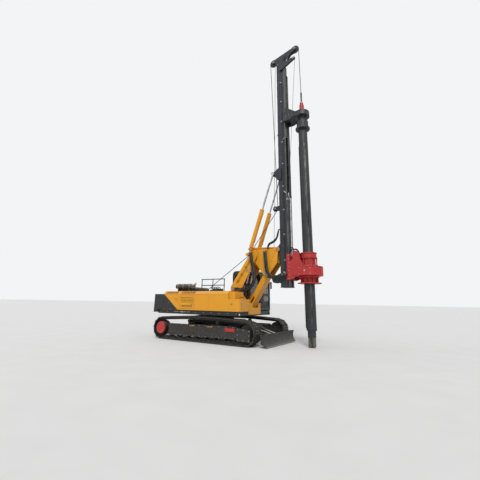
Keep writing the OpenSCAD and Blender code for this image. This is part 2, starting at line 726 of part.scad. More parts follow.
// Linkage pins in the side view
boom_foot_at = [boom_foot_x, boom_foot_z];
boom_head_at = boom_foot_at + [boom_dx, boom_dz];
link_foot_at = [link_foot_x, link_foot_z];
link_head_at = link_foot_at + [boom_dx, boom_dz];
mast_pin_at = [mast_pin_x, mast_pin_z];
prop_foot_at = [prop_foot_x, prop_foot_z];
boom_a = atan2(boom_dz, boom_dx);
boom_u = dir(boom_a);
boom_n = dir(boom_a - 90);

// Widths of the linkage, from the middle outwards
link_half_w = 190;
knuckle_y0 = 205;
knuckle_y1 = knuckle_y0 + plate_t;
boom_y0 = 320;
boom_y1 = boom_y0 + plate_t;
foot_y0 = boom_y1 + 10;
foot_y1 = foot_y0 + 40;
foot_pin_r = 60;

// Luffing cylinders
luff_y = 150;
luff_foot = [1150, 1230];
luff_eye = boom_foot_at + 850 * boom_u + 60 * boom_n;
luff_barrel_l = 960;
luff_rod_l = 740;
luff_r = 65;
luff_rod_r = 38;

// Boom foot: two outer plates with the boom's pin, inner lugs and the cross plate in front
module boom_foot() placed() color(yellow) {
    both_sides() {
        side_cut(band([[640, deck_top, 0], [boom_foot_at[0], boom_foot_at[1], 120],
            [1600, 1400, 40], [deck_front, deck_top, 0]]), foot_y0, foot_y1);
        // Lugs of the link's foot
        side_cut(band([[link_foot_at[0] - 160, deck_top, 0], [link_foot_at[0], link_foot_at[1], 90],
            [link_foot_at[0] + 160, deck_top, 0]]), link_half_w + gap, link_half_w + gap + 40);
        // Lugs of the luffing cylinders
        for (y = [luff_y - 45 - 22, luff_y + 45])
            side_cut(band([[luff_foot[0] - 150, deck_top, 0], [luff_foot[0], luff_foot[1], 70],
                [luff_foot[0] + 150, deck_top, 0]]), y, y + 22);
    }
    cross_bar(boom_foot_at, foot_pin_r, -foot_y1 - 12, foot_y1 + 12);
    cross_bar(link_foot_at, pin_r, -link_half_w - gap - 50, link_half_w + gap + 50);
    cross_bar(luff_foot, 35, -luff_y - 75, luff_y + 75);
    // Gland where the hose bundle leaves for the boom
    block([980, -525, 1885], [1060 - slip, -foot_y1 + 1, 2000]);
    // Cross plate
    block([deck_front + slip, -545, deck_z + 40], [deck_front + 26, 400, 1250]);
    for (y = [[-545, -link_half_w - 30], [link_half_w + 30, 400]])
        block([deck_front + slip, y[0], 1249], [deck_front + 26, y[1], 1420]);
    block([deck_front - 100, -foot_y1, deck_top], [deck_front + 26, foot_y1, deck_top + 60]);
}

// Cab: rounds of its side outline, clockwise from the rear foot, at a wall depth
cab_y1 = body_w / 2 - 10;
cab_gap = 40;
cab_y0 = foot_y1 + cab_gap;
cab_z = deck_top + slip;
function cab_rounds(depth) = [[cab_back_x + 60, cab_z + 60, 60 - depth],
    [cab_back_x + 150, cab_top_z - 150, 150 - depth],
    [cab_front_x - 350, cab_top_z - 350, 350 - depth],
    [cab_front_x - 60, cab_z + 60, 60 - depth]];
cab_door_x = [620, 1340];
cab_door_z = [cab_z + 90, cab_top_z - 170];
// Side windows: outlines in the side view
side_window = [[cab_back_x + 110, 1900], [cab_back_x + 110, 2500], [cab_back_x + 170, cab_top_z - 130],
    [cab_front_x - 400, cab_top_z - 130], [cab_front_x - 190, 2440], [cab_front_x - 110, 2250],
    [cab_front_x - 110, 1560], [1000, 1560], [940, 1900]];

module cab_shell() placed() color(black)
    difference() {
        side_cut(band(cab_rounds(0)), cab_y0, cab_y1);
        side_cut(band(cab_rounds(cab_wall)), cab_y0 + cab_wall, cab_y1 - cab_wall);
        // Window on the boom's side
        side_cut(side_window, cab_y0 - 1, cab_y0 + cab_wall + 1);
        // Doorway, the quarter window ahead of it and the one behind it
        block([cab_door_x[0], cab_y1 - cab_wall - 1, cab_door_z[0]], [cab_door_x[1], cab_y1 + 1, cab_door_z[1]]);
        block([cab_back_x + 90, cab_y1 - cab_wall - 1, 1900], [cab_door_x[0] - 60, cab_y1 + 1, cab_door_z[1] - 40]);
        block([cab_door_x[1] + 60, cab_y1 - cab_wall - 1, 1500], [cab_front_x - 60, cab_y1 + 1, 2300]);
        // Windscreen, lower front window and roof window
        block([cab_front_x - 250, cab_y0 + 80, 1780], [cab_front_x + 1, cab_y1 - 80, 2620]);
        block([cab_front_x - 60, cab_y0 + 80, 1260], [cab_front_x + 1, cab_y1 - 80, 1700]);
        block([700, cab_y0 + 120, cab_top_z - 60], [1240, cab_y1 - 120, cab_top_z + 1]);
        // Rear window
        block([cab_back_x - 1, cab_y0 + 100, 1950], [cab_back_x + 60, cab_y1 - 100, 2480]);
    }

// Cab fittings: roof lamps, mirror, grab rail
mirror_at = [1760, cab_y1 - 20, 2150];
module cab_fittings() placed() color(black) {
    for (y = [cab_y0 + 140, cab_y1 - 220])
        block([1180, y, cab_top_z + slip], [1240, y + 90, cab_top_z + 70]);
    block([cab_front_x + slip, cab_y1 - 60, 2180], [cab_front_x + 20, cab_y1 - 30, 2230]);
    block([cab_front_x + 10, cab_y1 - 50, 2195], [mirror_at[0] + 6, cab_y1 - 38, 2215]);
    block([mirror_at[0], cab_y1 - 90, 2000], [mirror_at[0] + 26, cab_y1 + 10, 2290]);
    // Grab rail ahead of the door
    translate([cab_door_x[1] + 35, cab_y1 + 34, 1350]) cylinder(h = 700, r = 12, $fn = 20);
    for (z = [1370, 2020])
        cross_bar([cab_door_x[1] + 35, z], 10, cab_y1 + slip, cab_y1 + 34);
}

// Panes set in the middle of the walls
pane_in = (cab_wall - glass_t) / 2;
module cab_glass() placed() color(glass_tint) {
    side_cut(side_window, cab_y0 + pane_in, cab_y0 + pane_in + glass_t);
    difference() {
        side_cut(band(cab_rounds(pane_in), 6), cab_y0 + 80, cab_y1 - 80);
        side_cut(band(cab_rounds(pane_in + glass_t), 6), cab_y0 + 79, cab_y1 - 79);
        block([0, cab_y0, 0], [cab_front_x - 250, cab_y1, cab_top_z + 1]);
        block([0, cab_y0, 2620], [cab_front_x + 1, cab_y1, cab_top_z + 1]);
        block([0, cab_y0, 1700], [cab_front_x + 1, cab_y1, 1780]);
        block([0, cab_y0, 0], [cab_front_x + 1, cab_y1, 1260]);
    }
    block([700, cab_y0 + 120, cab_top_z - pane_in - glass_t], [1240, cab_y1 - 120, cab_top_z - pane_in]);
    block([cab_back_x + pane_in, cab_y0 + 100, 1950], [cab_back_x + pane_in + glass_t, cab_y1 - 100, 2480]);
    block([cab_back_x + 90, cab_y1 - pane_in - glass_t, 1900], [cab_door_x[0] - 60, cab_y1 - pane_in, cab_door_z[1] - 40]);
    block([cab_door_x[1] + 60, cab_y1 - pane_in - glass_t, 1500], [cab_front_x - 60, cab_y1 - pane_in, 2300]);
}

// Operator's seat on its box
seat_y = (cab_y0 + cab_y1) / 2;
module cab_seat() placed() color(seat_grey) {
    block([700, seat_y - 200, cab_z + cab_wall + slip], [1080, seat_y + 200, 1520]);
    block([660, seat_y - 240, 1519], [1160, seat_y + 240, 1640]);
    side_cut([[640, 1600], [780, 1600], [700, 2180], [590, 2180]], seat_y - 230, seat_y + 230);
}

// Cab door with its window, hinged along its rear edge
module cab_door() placed() {
    x0 = cab_door_x[0] + door_gap;
    x1 = cab_door_x[1] - door_gap;
    z0 = cab_door_z[0] + door_gap;
    z1 = cab_door_z[1] - door_gap;
    color(black) {
        difference() {
            block([x0, cab_y1 - cab_wall, z0], [x1, cab_y1, z1]);
            block([x0 + 70, cab_y1 - cab_wall - 1, z0 + 380], [x1 - 70, cab_y1 + 1, z1 - 70]);
        }
        for (z = [z0 + 120, z1 - 260])
            translate([cab_door_x[0], cab_y1 + hinge_r + slip, z]) {
                cylinder(h = 120, r = hinge_r, $fn = 24);
                translate([door_gap, -hinge_r - 1, 0]) cube([40, hinge_r + 1, 120]);
            }
    }
    color(glass_tint)
        block([x0 + 70, cab_y1 - pane_in - glass_t, z0 + 380], [x1 - 70, cab_y1 - pane_in, z1 - 70]);
}

// Work lamps at the front corners of the upper frame
module lamps() placed()
    both_sides() color(steel) {
        translate([deck_front + slip, 1190, 1010]) rotate([0, 90, 0]) cylinder(h = 40, r = 42, $fn = 36);
    }

// Boom: two side plates, a rear plate and cross tubes
boom_foot_r = 240;
boom_head_r = 160;
tube_wall = 32;
boom_rounds = [[boom_foot_at[0], boom_foot_at[1], boom_foot_r], [boom_head_at[0], boom_head_at[1], boom_head_r]];
// A place on the boom: distance along it and offset to its front
function on_boom(along, front) = boom_foot_at + along * boom_u + front * boom_n;
module boom() placed() color(yellow) {
    difference() {
        union() {
            both_sides() side_cut(band(boom_rounds), boom_y0, boom_y1);
            cross_bar(boom_foot_at, foot_pin_r + tube_wall, -boom_y1, boom_y1);
            side_cut([on_boom(60, -232), on_boom(1180, -182), on_boom(1180, -158), on_boom(60, -208)],
                -boom_y0 - 1, boom_y0 + 1);
            cross_bar(on_boom(1150, -60), 60, -boom_y0 - 1, boom_y0 + 1);
        }
        cross_bar(boom_foot_at, foot_pin_r + fit, -boom_y1 - 1, boom_y1 + 1);
        cross_bar(boom_head_at, pin_r + fit, -boom_y1 - 1, boom_y1 + 1);
    }
    // Bracket that holds the upper end of the hose bundle
    block([1715, -520, 3330 + slip], [1805, -boom_y1 + 1, 3362]);
    // Lugs of the luffing rods, hung from the rear plate
    both_sides()
        for (y = [luff_y - 35 - gap - 22, luff_y + 35 + gap])
            side_cut([on_boom(760, -205), on_boom(1000, -195), luff_eye + 60 * dir(boom_a + 20),
                luff_eye + 62 * dir(boom_a - 40), luff_eye + 62 * dir(boom_a - 100),
                luff_eye + 60 * dir(boom_a - 160)], y, y + 22);
}

// Link: a box arm with an elongated slot near its foot
link_r1 = 95;
link_rounds = [[link_foot_at[0], link_foot_at[1], link_r1], [link_head_at[0], link_head_at[1], link_r1]];
function on_link(along, front) = link_foot_at + along * boom_u + front * boom_n;
link_l = norm([boom_dx, boom_dz]);
module link() placed() color(yellow)
    difference() {
        union() {
            both_sides() side_cut(band(link_rounds), link_half_w - 25, link_half_w);
            side_cut([on_link(120, -link_r1), on_link(link_l - 120, -link_r1),
                on_link(link_l - 120, -link_r1 + 20), on_link(120, -link_r1 + 20)], -link_half_w + 1, link_half_w - 1);
            side_cut([on_link(120, link_r1 - 20), on_link(link_l - 120, link_r1 - 20),
                on_link(link_l - 120, link_r1), on_link(120, link_r1)], -link_half_w + 1, link_half_w - 1);
            for (c = [link_foot_at, link_head_at])
                cross_bar(c, pin_r + 30, -link_half_w, link_half_w);
        }
        for (c = [link_foot_at, link_head_at])
            cross_bar(c, pin_r + fit, -link_half_w - 1, link_half_w + 1);
        side_cut(band([[on_link(260, 0)[0], on_link(260, 0)[1], 38], [on_link(470, 0)[0], on_link(470, 0)[1], 38]]),
            -link_half_w - 1, link_half_w + 1);
    }

// Knuckle: two side plates between the boom, the link, the mast and the mast cylinders
prop_y = 325;
prop_eye_w = 100;
roller_at = [1345, 3320];
knuckle_rounds = [[prop_foot_x, prop_foot_z - 20, 95], [mast_pin_x - 60, mast_pin_z, 90], [mast_pin_x - 60, 2900, 30],
    [link_head_at[0] + 30, link_head_at[1], 110], [link_head_at[0], link_head_at[1], 110],
    [boom_head_at[0] - 30, boom_head_at[1] - 90, 80]];
module knuckle() placed() color(yellow) {
    difference() {
        both_sides() {
            side_cut(band(knuckle_rounds), knuckle_y0, knuckle_y1);
            side_cut(band([[mast_pin_x - 100, mast_pin_z, 90], [mast_pin_x, mast_pin_z, 90]]), knuckle_y0, knuckle_y1 + 10);
            cross_bar(boom_head_at, 105, knuckle_y1 - 1, boom_y0 - slip);
            cross_bar(link_head_at, 85, knuckle_y1 - 1, knuckle_y1 + 12);
            cross_bar(mast_pin_at, 80, knuckle_y1 + 9, knuckle_y1 + 18);
            side_cut([[2630, 3360], [2690, 3330], [2420, 2640], [2340, 2640]], knuckle_y1 - 1, knuckle_y1 + 16);
            side_cut([[1760, 3500], [2660, 3478], [2660, 3462], [1760, 3484]], knuckle_y1 - 1, knuckle_y1 + 26);
            cross_bar(prop_foot_at, 62, knuckle_y1 - 1, prop_y - prop_eye_w / 2 - slip);
        }
    }
    both_sides() {
        cross_bar(boom_head_at, pin_r, boom_y0 - 2, boom_y1 + 14);
        cross_bar(prop_foot_at, 40, prop_y - prop_eye_w / 2 - 2, prop_y + prop_eye_w / 2 + 14);
    }
    // Bracket that holds the upper end of the drive's hoses
    block([2245, -365, 3360 + slip], [2355, -knuckle_y1 + 1, 3392]);
    // Cover plates between the side plates, and the through pins
    side_cut([[1700, 3450], [2560, 3450], [2560, 3430], [1700, 3430]], -knuckle_y0 - 1, knuckle_y0 + 1);
    side_cut([[2690, 2905], [2710, 2905], [2710, 3290], [2690, 3290]], -knuckle_y0 - 1, knuckle_y0 + 1);
    side_cut([[1690, 3200], [1990, 2830], [2006, 2842], [1706, 3214]], -knuckle_y0 - 1, knuckle_y0 + 1);
    cross_bar(link_head_at, pin_r, -knuckle_y1 - 14, knuckle_y1 + 14);
    cross_bar(mast_pin_at, pin_r, -knuckle_y1 - 24, knuckle_y1 + 24);
    // Rope roller on its two arms
    both_sides()
        side_cut(band([[roller_at[0], roller_at[1], 50], [1640, 3415, 40]]), 60, 84);
    cross_bar(roller_at, 24, -84, 84);
    cross_bar(roller_at, 58, -55, 55);
    cross_bar([1640, 3415], 38, -knuckle_y0 - 1, knuckle_y0 + 1);
}

module luff_barrels() placed() color(black)
    for (y = [-luff_y, luff_y])
        barrel(luff_foot, lean_of(luff_foot, luff_eye), y, luff_r, luff_rod_r, luff_barrel_l, 68, 80, 35);
module luff_rods() placed() color(steel)
    for (y = [-luff_y, luff_y])
        rod(luff_foot, lean_of(luff_foot, luff_eye), y, luff_rod_r, reach_of(luff_foot, luff_eye), luff_rod_l, 58, 70);

// Mast cylinders, one on each side of the mast
prop_head_at = [mast_back_x - 200, prop_head_z];
prop_r = 80;
prop_rod_r = 42;
prop_barrel_l = 1650;
prop_rod_l = 1770;
module mast_barrels() placed() color(yellow)
    for (y = [-prop_y, prop_y])
        barrel(prop_foot_at, lean_of(prop_foot_at, prop_head_at), y, prop_r, prop_rod_r, prop_barrel_l, 72, prop_eye_w, 40);
module mast_rods() placed() color(steel)
    for (y = [-prop_y, prop_y])
        rod(prop_foot_at, lean_of(prop_foot_at, prop_head_at), y, prop_rod_r,
            reach_of(prop_foot_at, prop_head_at), prop_rod_l, 68, prop_eye_w - 10);

// Mast: a box tube with two guide rails, the tilt ears and the brackets on its back
mast_front_x = mast_back_x + mast_d;
rail_x0_front = mast_front_x;
rail_front_x = mast_front_x + rail_t;
mast_rear_sheave = [2650, 5080];
mast_sheave_r = 110;
rail_top_z = mast_top_z - 440;
module mast() placed() color(mast_dark) {
    difference() {
        block([mast_back_x, -mast_w / 2, mast_foot_z], [mast_front_x, mast_w / 2, mast_top_z]);
        block([mast_back_x + mast_wall, -mast_w / 2 + mast_wall, mast_foot_z + 160],
            [mast_front_x - mast_wall, mast_w / 2 - mast_wall, mast_top_z - 40]);
    }
    both_sides() {
        block([mast_front_x - 1, rail_span / 2 - 85, mast_foot_z + 20], [rail_front_x, rail_span / 2, rail_top_z]);
        // Tilt ears
        difference() {
            side_cut(band([[mast_pin_x, mast_pin_z, 88], [mast_back_x + 40, mast_pin_z + 240, 30],
                [mast_back_x + 40, mast_pin_z - 240, 30]]), 110, 160);
            cross_bar(mast_pin_at, pin_r + fit, 100, 170);
        }
        // Brackets of the mast cylinders
        side_cut(band([[prop_head_at[0], prop_head_at[1], 75], [mast_back_x + 90, prop_head_z + 230, 40],
            [mast_back_x + 90, prop_head_z - 230, 40]]), mast_w / 2 - 1, prop_y - prop_eye_w / 2 - 5);
        // Bracket of the rope sheave
        side_cut(band([[mast_rear_sheave[0], mast_rear_sheave[1], 50], [mast_back_x - 10, mast_rear_sheave[1] + 90, 20],
            [mast_back_x - 10, mast_rear_sheave[1] - 90, 20]]), 50, 70);
    }
    sheave(mast_rear_sheave, mast_sheave_r, 0, 28);
    cross_bar(mast_rear_sheave, 30, -70, 70);
    // Manifold where the drive's hoses arrive
    block([3090 + slip, -445, 2390], [3168, -mast_w / 2 + 1, 2490]);
    // Pipes up the right side, and their clips
    for (x = [3072, 3104])
        translate([x, -mast_w / 2 - 14, 2489]) cylinder(h = 8600, r = 11, $fn = 20);
    for (k = [0:8])
        block([3052, -mast_w / 2 - 30, 2900 + k * 980], [3124, -mast_w / 2 + 1, 2930 + k * 980]);
    // Bolted joints between the mast's lengths
    for (z = [4150, 8250])
        for (dz = [0, 24])
            difference() {
                block([mast_back_x - 26, -mast_w / 2 - 8, z + dz], [mast_front_x - 150, mast_w / 2 + 8, z + dz + 20]);
                block([mast_back_x + mast_wall, -mast_w / 2 + mast_wall, z + dz - 1],
                    [mast_front_x, mast_w / 2 - mast_wall, z + dz + 21]);
            }
    // Foot plate
    block([mast_back_x - 10, -mast_w / 2 - 15, mast_foot_z], [mast_front_x + 60, mast_w / 2 + 15, mast_foot_z + 24]);
}

// Mast head: a raked beam of two plates with sheaves at its ends, a strut and the small arm
head_rear_at = [2690, 12180];
head_front_at = [kelly_x - 198, 12470];
small_arm_at = [3730, 11800];
small_arm_y = -mast_w / 2 - slip - 40;
// A rope sheave: two flanges over a groove
module sheave(at, r, y, half_w) {
    cross_bar(at, r - 28, y - half_w, y + half_w);
    for (s = [-1, 1])
        cross_bar(at, r, s > 0 ? y + half_w - 9 : y - half_w, s > 0 ? y + half_w : y - half_w + 9);
}
module crown() placed() color(mast_dark) {
    both_sides() {
        side_cut(band([[head_rear_at[0], head_rear_at[1], 90], [head_front_at[0], head_front_at[1], 100]]), 60, 84);
        // Strut and post from the mast top
        side_cut([[mast_back_x + 20, mast_top_z + 20], [mast_front_x - 20, mast_top_z + 20], [3200, 12330],
            [2930, 12270]], 60, 84);
        side_cut([[mast_front_x - 70, mast_top_z + 60], [mast_front_x + 10, mast_top_z + 60], [3560, 12380], [3440, 12400]],
            60, 84);
    }
    for (c = [head_rear_at, head_front_at]) {
        sheave(c, 190, 0, 26);
        cross_bar(c, 35, -100, 100);
    }
    // Spacer bars along the beam
    for (k = [1:4])
        cross_bar(head_rear_at + (head_front_at - head_rear_at) * k / 5 + [0, 55], 16, -61, 61);
    cross_bar([3060, 12020], 40, -61, 61);
    block([mast_back_x, -mast_w / 2, mast_top_z + slip], [mast_front_x, mast_w / 2, mast_top_z + 24]);
    // Small arm with its sheave
    for (y = [small_arm_y - 40, small_arm_y + 25])
        side_cut(band([[mast_front_x - 100, mast_top_z - 300, 80], [mast_front_x - 100, mast_top_z - 150, 60],
            [small_arm_at[0], small_arm_at[1], 60]]), y, y + 15);
    block([mast_front_x - 160, small_arm_y - 26, mast_top_z - 300], [mast_front_x - 40, small_arm_y + 26, mast_top_z - 180]);
    sheave(small_arm_at, 90, small_arm_y, 20);
    cross_bar(small_arm_at, 22, small_arm_y - 50, small_arm_y + 50);
}

// Crowd cylinder on the mast's front, between the guide rails
crowd_at_x = mast_front_x + 63;
crowd_r = 60;
crowd_rod_r = 35;
crowd_z0 = 5450;
crowd_z1 = 8190;
sled_top_z = 3180;
module crowd_barrel() placed() color(mast_dark) {
    difference() {
        translate([crowd_at_x, 0, crowd_z0]) cylinder(h = crowd_z1 - crowd_z0, r = crowd_r, $fn = 48);
        translate([crowd_at_x, 0, crowd_z0 - 1]) cylinder(h = crowd_z1 - crowd_z0 - 80, r = crowd_rod_r + fit, $fn = 48);
    }
    for (z = [crowd_z0 + 60, 6800, crowd_z1 - 120])
        difference() {
            block([mast_front_x + slip, -90, z], [crowd_at_x + 20, 90, z + 70]);
            translate([crowd_at_x, 0, z - 1]) cylinder(h = 72, r = crowd_r - 3, $fn = 48);
        }
}
module crowd_rod() placed() color(steel)
    translate([crowd_at_x, 0, sled_top_z - 60]) cylinder(h = crowd_z0 + 320 - sled_top_z + 60, r = crowd_rod_r, $fn = 48);

// Auxiliary winch on the mast's lower back
aux_at = [2640, 2300];
module aux_winch() placed() color(black) {
    for (y = [-130, 104])
        side_cut(band([[aux_at[0], aux_at[1], 60], [mast_back_x - 20, aux_at[1] + 200, 20 - slip],
            [mast_back_x - 20, aux_at[1] - 150, 20 - slip]]), y, y + 26);
    cross_bar(aux_at, 95, -105, 105);
    for (y = [-100, 76])
        cross_bar(aux_at, 150, y, y + 24);
    cross_bar(aux_at, 40, -160, 160);
}

// Sled of the rotary drive: a front plate, cheeks and claws behind the guide rails
sled_z0 = 2240;
sled_half_w = 350;
claw_x0 = mast_front_x - 40;
module slide_claws(z0, z1, pads) {
    both_sides() {
        // Cheek and claw behind the rail
        block([claw_x0, rail_span / 2 + gap, z0], [rail_front_x + 60, rail_span / 2 + gap + 40, z1]);
        for (z = pads) {
            block([claw_x0, mast_w / 2 + gap, z], [mast_front_x - gap, rail_span / 2 + gap + 1, z + 180]);
            // Wear pad on the rail's front face
            block([rail_front_x + slip, rail_span / 2 - 70, z], [rail_front_x + 12, rail_span / 2 - 10, z + 180]);
        }
    }
}
module drive_sled() placed() color(red) {
    slide_claws(sled_z0, sled_top_z, [sled_z0 + 40, sled_top_z - 220]);
    both_sides() {
        block([rail_front_x + 10, 75, sled_z0], [rail_front_x + 60, sled_half_w, sled_top_z]);
        block([rail_front_x + 10, rail_span / 2 + gap + 1, sled_z0], [rail_front_x + 80, sled_half_w, sled_top_z]);
    }
    block([rail_front_x + 10, -80, sled_z0], [rail_front_x + 60, 80, sled_top_z - 160]);
    // Seat of the crowd rod
    block([rail_front_x + 10, -80, sled_top_z - 161], [crowd_at_x + 50, 80, sled_top_z - 60 - slip]);
}

// Gearbox, its arm cheeks and the collar with open columns
bearing_z = [2420, 2480];
column_count = 8;
module drive_gearbox() placed() color(red) {
    difference() {
        union() {
            translate([0, 0, gearbox_z]) linear_extrude(gearbox_top_z - gearbox_z)
                polygon(band([[rail_front_x + 120 + slip, -300, 40], [rail_front_x + 120 + slip, 300, 40],
                    [kelly_x, 0, gearbox_r]], 8));
            translate([kelly_x, 0, gearbox_top_z - 1]) cylinder(h = 60, r = 330, $fn = 72);
        }
        translate([kelly_x, 0, gearbox_z - 1]) cylinder(h = 500, r = sleeve_r + 10, $fn = 72);
    }
    // Rims and ribs round the gearbox
    difference() {
        union() {
            translate([kelly_x, 0, gearbox_top_z - 26]) cylinder(h = 26, r = gearbox_r + 14, $fn = 96);
            translate([kelly_x, 0, gearbox_z]) cylinder(h = 22, r = gearbox_r + 14, $fn = 96);
            for (a = [-75:30:75])
                translate([kelly_x, 0, gearbox_z]) rotate([0, 0, a])
                    block([gearbox_r - 20, -8, 1], [gearbox_r + 12, 8, gearbox_top_z - gearbox_z - 1]);
        }
        translate([kelly_x, 0, gearbox_z - 1]) cylinder(h = 500, r = gearbox_r - 30, $fn = 72);
        block([3000, -600, gearbox_z - 1], [kelly_x - 60, 600, gearbox_top_z + 1]);
    }
    // Bearing land that carries the sleeve
    translate([kelly_x, 0, bearing_z[0]]) difference() {
        cylinder(h = bearing_z[1] - bearing_z[0], r = sleeve_r + 11, $fn = 72);
        translate([0, 0, -1]) cylinder(h = 200, r = sleeve_r + slip, $fn = 72);
    }
    both_sides()
        side_cut([[rail_front_x + 80 + slip, 2250], [rail_front_x + 80 + slip, 2900], [3450, 2980], [3450, 3200],
            [3500, 3270], [3620, 3270], [3700, 3180], [3740, 2960], [3850, 2760], [3980, gearbox_top_z - 20],
            [3980, gearbox_z + 10], [3600, gearbox_z + 10], [3500, 2300]], 300, 350);
    // Collar
    for (k = [0:column_count - 1])
        translate([kelly_x, 0, gearbox_top_z]) rotate([0, 0, 360 * (k + 0.5) / column_count])
            translate([285, 0, 0]) cylinder(h = 301, r = 20, $fn = 20);
    translate([kelly_x, 0, 3000]) difference() {
        union() {
            cylinder(h = 36, r = 312, $fn = 72);
            cylinder(h = collar_top_z - 3000 - 30, r = 285, $fn = 72);
            translate([0, 0, collar_top_z - 3000 - 31]) cylinder(h = 31, r = 305, $fn = 72);
        }
        translate([0, 0, -1]) cylinder(h = 400, r = sleeve_r + 5, $fn = 72);
    }
}

// Two hydraulic motors with their planetary gears
motor_x = 3485;
motor_y = 165;
module drive_motors() placed()
    for (y = [-motor_y, motor_y]) translate([motor_x, y, gearbox_top_z + slip]) {
        color(red) cylinder(h = 170, r = 108, $fn = 48);
        color(red) translate([0, 0, 169]) cylinder(h = 60, r = 82, $fn = 48);
        color(steel) translate([0, 0, 228]) cylinder(h = 190, r = 66, $fn = 40);
    }

// Rotating sleeve with the casing flange under the gearbox
flange_z = 2110;
module drive_sleeve() placed() color(red)
    difference() {
        union() {
            translate([kelly_x, 0, flange_z]) cylinder(h = collar_top_z + 20 - flange_z, r = sleeve_r, $fn = 72);
            translate([kelly_x, 0, flange_z]) cylinder(h = flange_t, r = flange_r, $fn = 72);
            translate([kelly_x, 0, gearbox_z - 60]) cylinder(h = 50, r = 350, $fn = 72);
            for (k = [0:7])
                translate([kelly_x, 0, 0]) rotate([0, 0, 45 * k])
                    block([sleeve_r - 5, -10, flange_z + 1], [330, 10, gearbox_z - 50]);
        }
        translate([kelly_x, 0, flange_z - 1]) cylinder(h = 1300, r = sleeve_in_r, $fn = 72);
        for (k = [0:flange_holes - 1])
            translate([kelly_x, 0, flange_z - 1]) rotate([0, 0, 360 * (k + 0.5) / flange_holes])
                translate([flange_bolt_r, 0, 0]) cylinder(h = flange_t + 2, r = flange_hole_r, $fn = 24);
    }

// Kelly guide: a slide on the rails, two arms and the bearing ring round the kelly's collar
guide_z0 = 8790;
guide_z1 = 9400;
guide_ring_z = [8890, 9100];
kelly_collar_r = 200;
guide_arm_y = rail_span / 2 + gap;
module kelly_guide() placed() color(mast_dark) {
    slide_claws(guide_z0, guide_z1, [guide_z0 + 20, guide_z1 - 200]);
    both_sides() {
        block([rail_front_x + 10, rail_span / 2 - 75, guide_z0], [rail_front_x + 40, guide_arm_y + 1, guide_z1]);
        side_cut([[rail_front_x, guide_z0], [rail_front_x + 60, guide_z1 - 20], [rail_front_x + 120, guide_z1 - 20],
            [kelly_x - 200, guide_ring_z[1]], [kelly_x, guide_ring_z[1]], [kelly_x, guide_ring_z[0]],
            [kelly_x - 260, guide_ring_z[0]], [rail_front_x + 200, guide_z0]], guide_arm_y, guide_arm_y + 40);
    }
    block([rail_front_x + 130, -guide_arm_y - 1, guide_z0 + 60], [rail_front_x + 150, guide_arm_y + 1, guide_z1 - 120]);
    translate([kelly_x, 0, guide_ring_z[0]]) difference() {
        cylinder(h = guide_ring_z[1] - guide_ring_z[0], r = 300, $fn = 72);
        translate([0, 0, -1]) cylinder(h = 400, r = kelly_collar_r + slip, $fn = 72);
    }
}

// Outer kelly tube with its drive keys, damper, neck and collar
key_w = 60;
key_h = 22;
key_z = [620, 7580];
module kelly_outer() placed() color(mast_dark)
    translate([kelly_x, 0, 0]) difference() {
        union() {
            translate([0, 0, kelly_foot_z]) cylinder(h = damper_z + 1 - kelly_foot_z, r = kelly_r, $fn = 72);
            for (k = [0:2])
                rotate([0, 0, 120 * k + 60])
                    block([kelly_r - 6, -key_w / 2, key_z[0]], [kelly_r + key_h, key_w / 2, key_z[1]]);
            translate([0, 0, damper_z]) cylinder(h = 60, r = 290, $fn = 72);
            translate([0, 0, damper_z + 59]) cylinder(h = 292, r = 235, $fn = 72);
            translate([0, 0, damper_z + 350]) cylinder(h = 240, r = 160, $fn = 72);
            translate([0, 0, guide_ring_z[0] - 10]) cylinder(h = guide_ring_z[1] - guide_ring_z[0] + 20, r = kelly_collar_r, $fn = 72);
            translate([0, 0, guide_ring_z[1] + slip]) cylinder(h = 26, r = 262, $fn = 72);
        }
        translate([0, 0, kelly_foot_z + 60]) cylinder(h = damper_z - kelly_foot_z - 60, r = kelly_r - kelly_wall, $fn = 72);
        translate([0, 0, kelly_foot_z - 1]) cylinder(h = 62, r = inner_r + fit, $fn = 72);
    }

// Inner kelly tube and the square stub that takes the drilling tool
inner_r = 140;
inner_z = [330, 2400];
module kelly_inner() placed() color(mast_dark)
    translate([kelly_x, 0, 0]) difference() {
        union() {
            translate([0, 0, inner_z[0]]) cylinder(h = inner_z[1] - inner_z[0], r = inner_r, $fn = 64);
            translate([-stub_w / 2, -stub_w / 2, stub_z]) cube([stub_w, stub_w, inner_z[0] + 1 - stub_z]);
        }
        translate([0, 0, inner_z[0] + 120]) cylinder(h = 4000, r = inner_r - 16, $fn = 64);
        translate([0, -stub_w, stub_z + 100]) rotate([-90, 0, 0]) cylinder(h = 2 * stub_w, r = stub_pin_r, $fn = 32);
    }

// Swivel above the kelly, with the rope socket
swivel_z = guide_ring_z[1] + slip + 26 + slip;
module swivel() placed() {
    color(red) translate([kelly_x, 0, 0]) {
        translate([0, 0, swivel_z]) cylinder(h = 40, r = 200, $fn = 64);
        translate([0, 0, swivel_z + 39]) cylinder(h = 300, r = 95, $fn = 48);
        translate([0, 0, swivel_z + 338]) cylinder(h = 90, r = 70, $fn = 48);
    }
    color(black) translate([kelly_x, 0, 0]) {
        translate([-18, -45, swivel_z + 427]) cube([36, 90, 120]);
        translate([0, 0, swivel_z + 540]) cylinder(h = 440, r = 34, $fn = 32);
    }
}

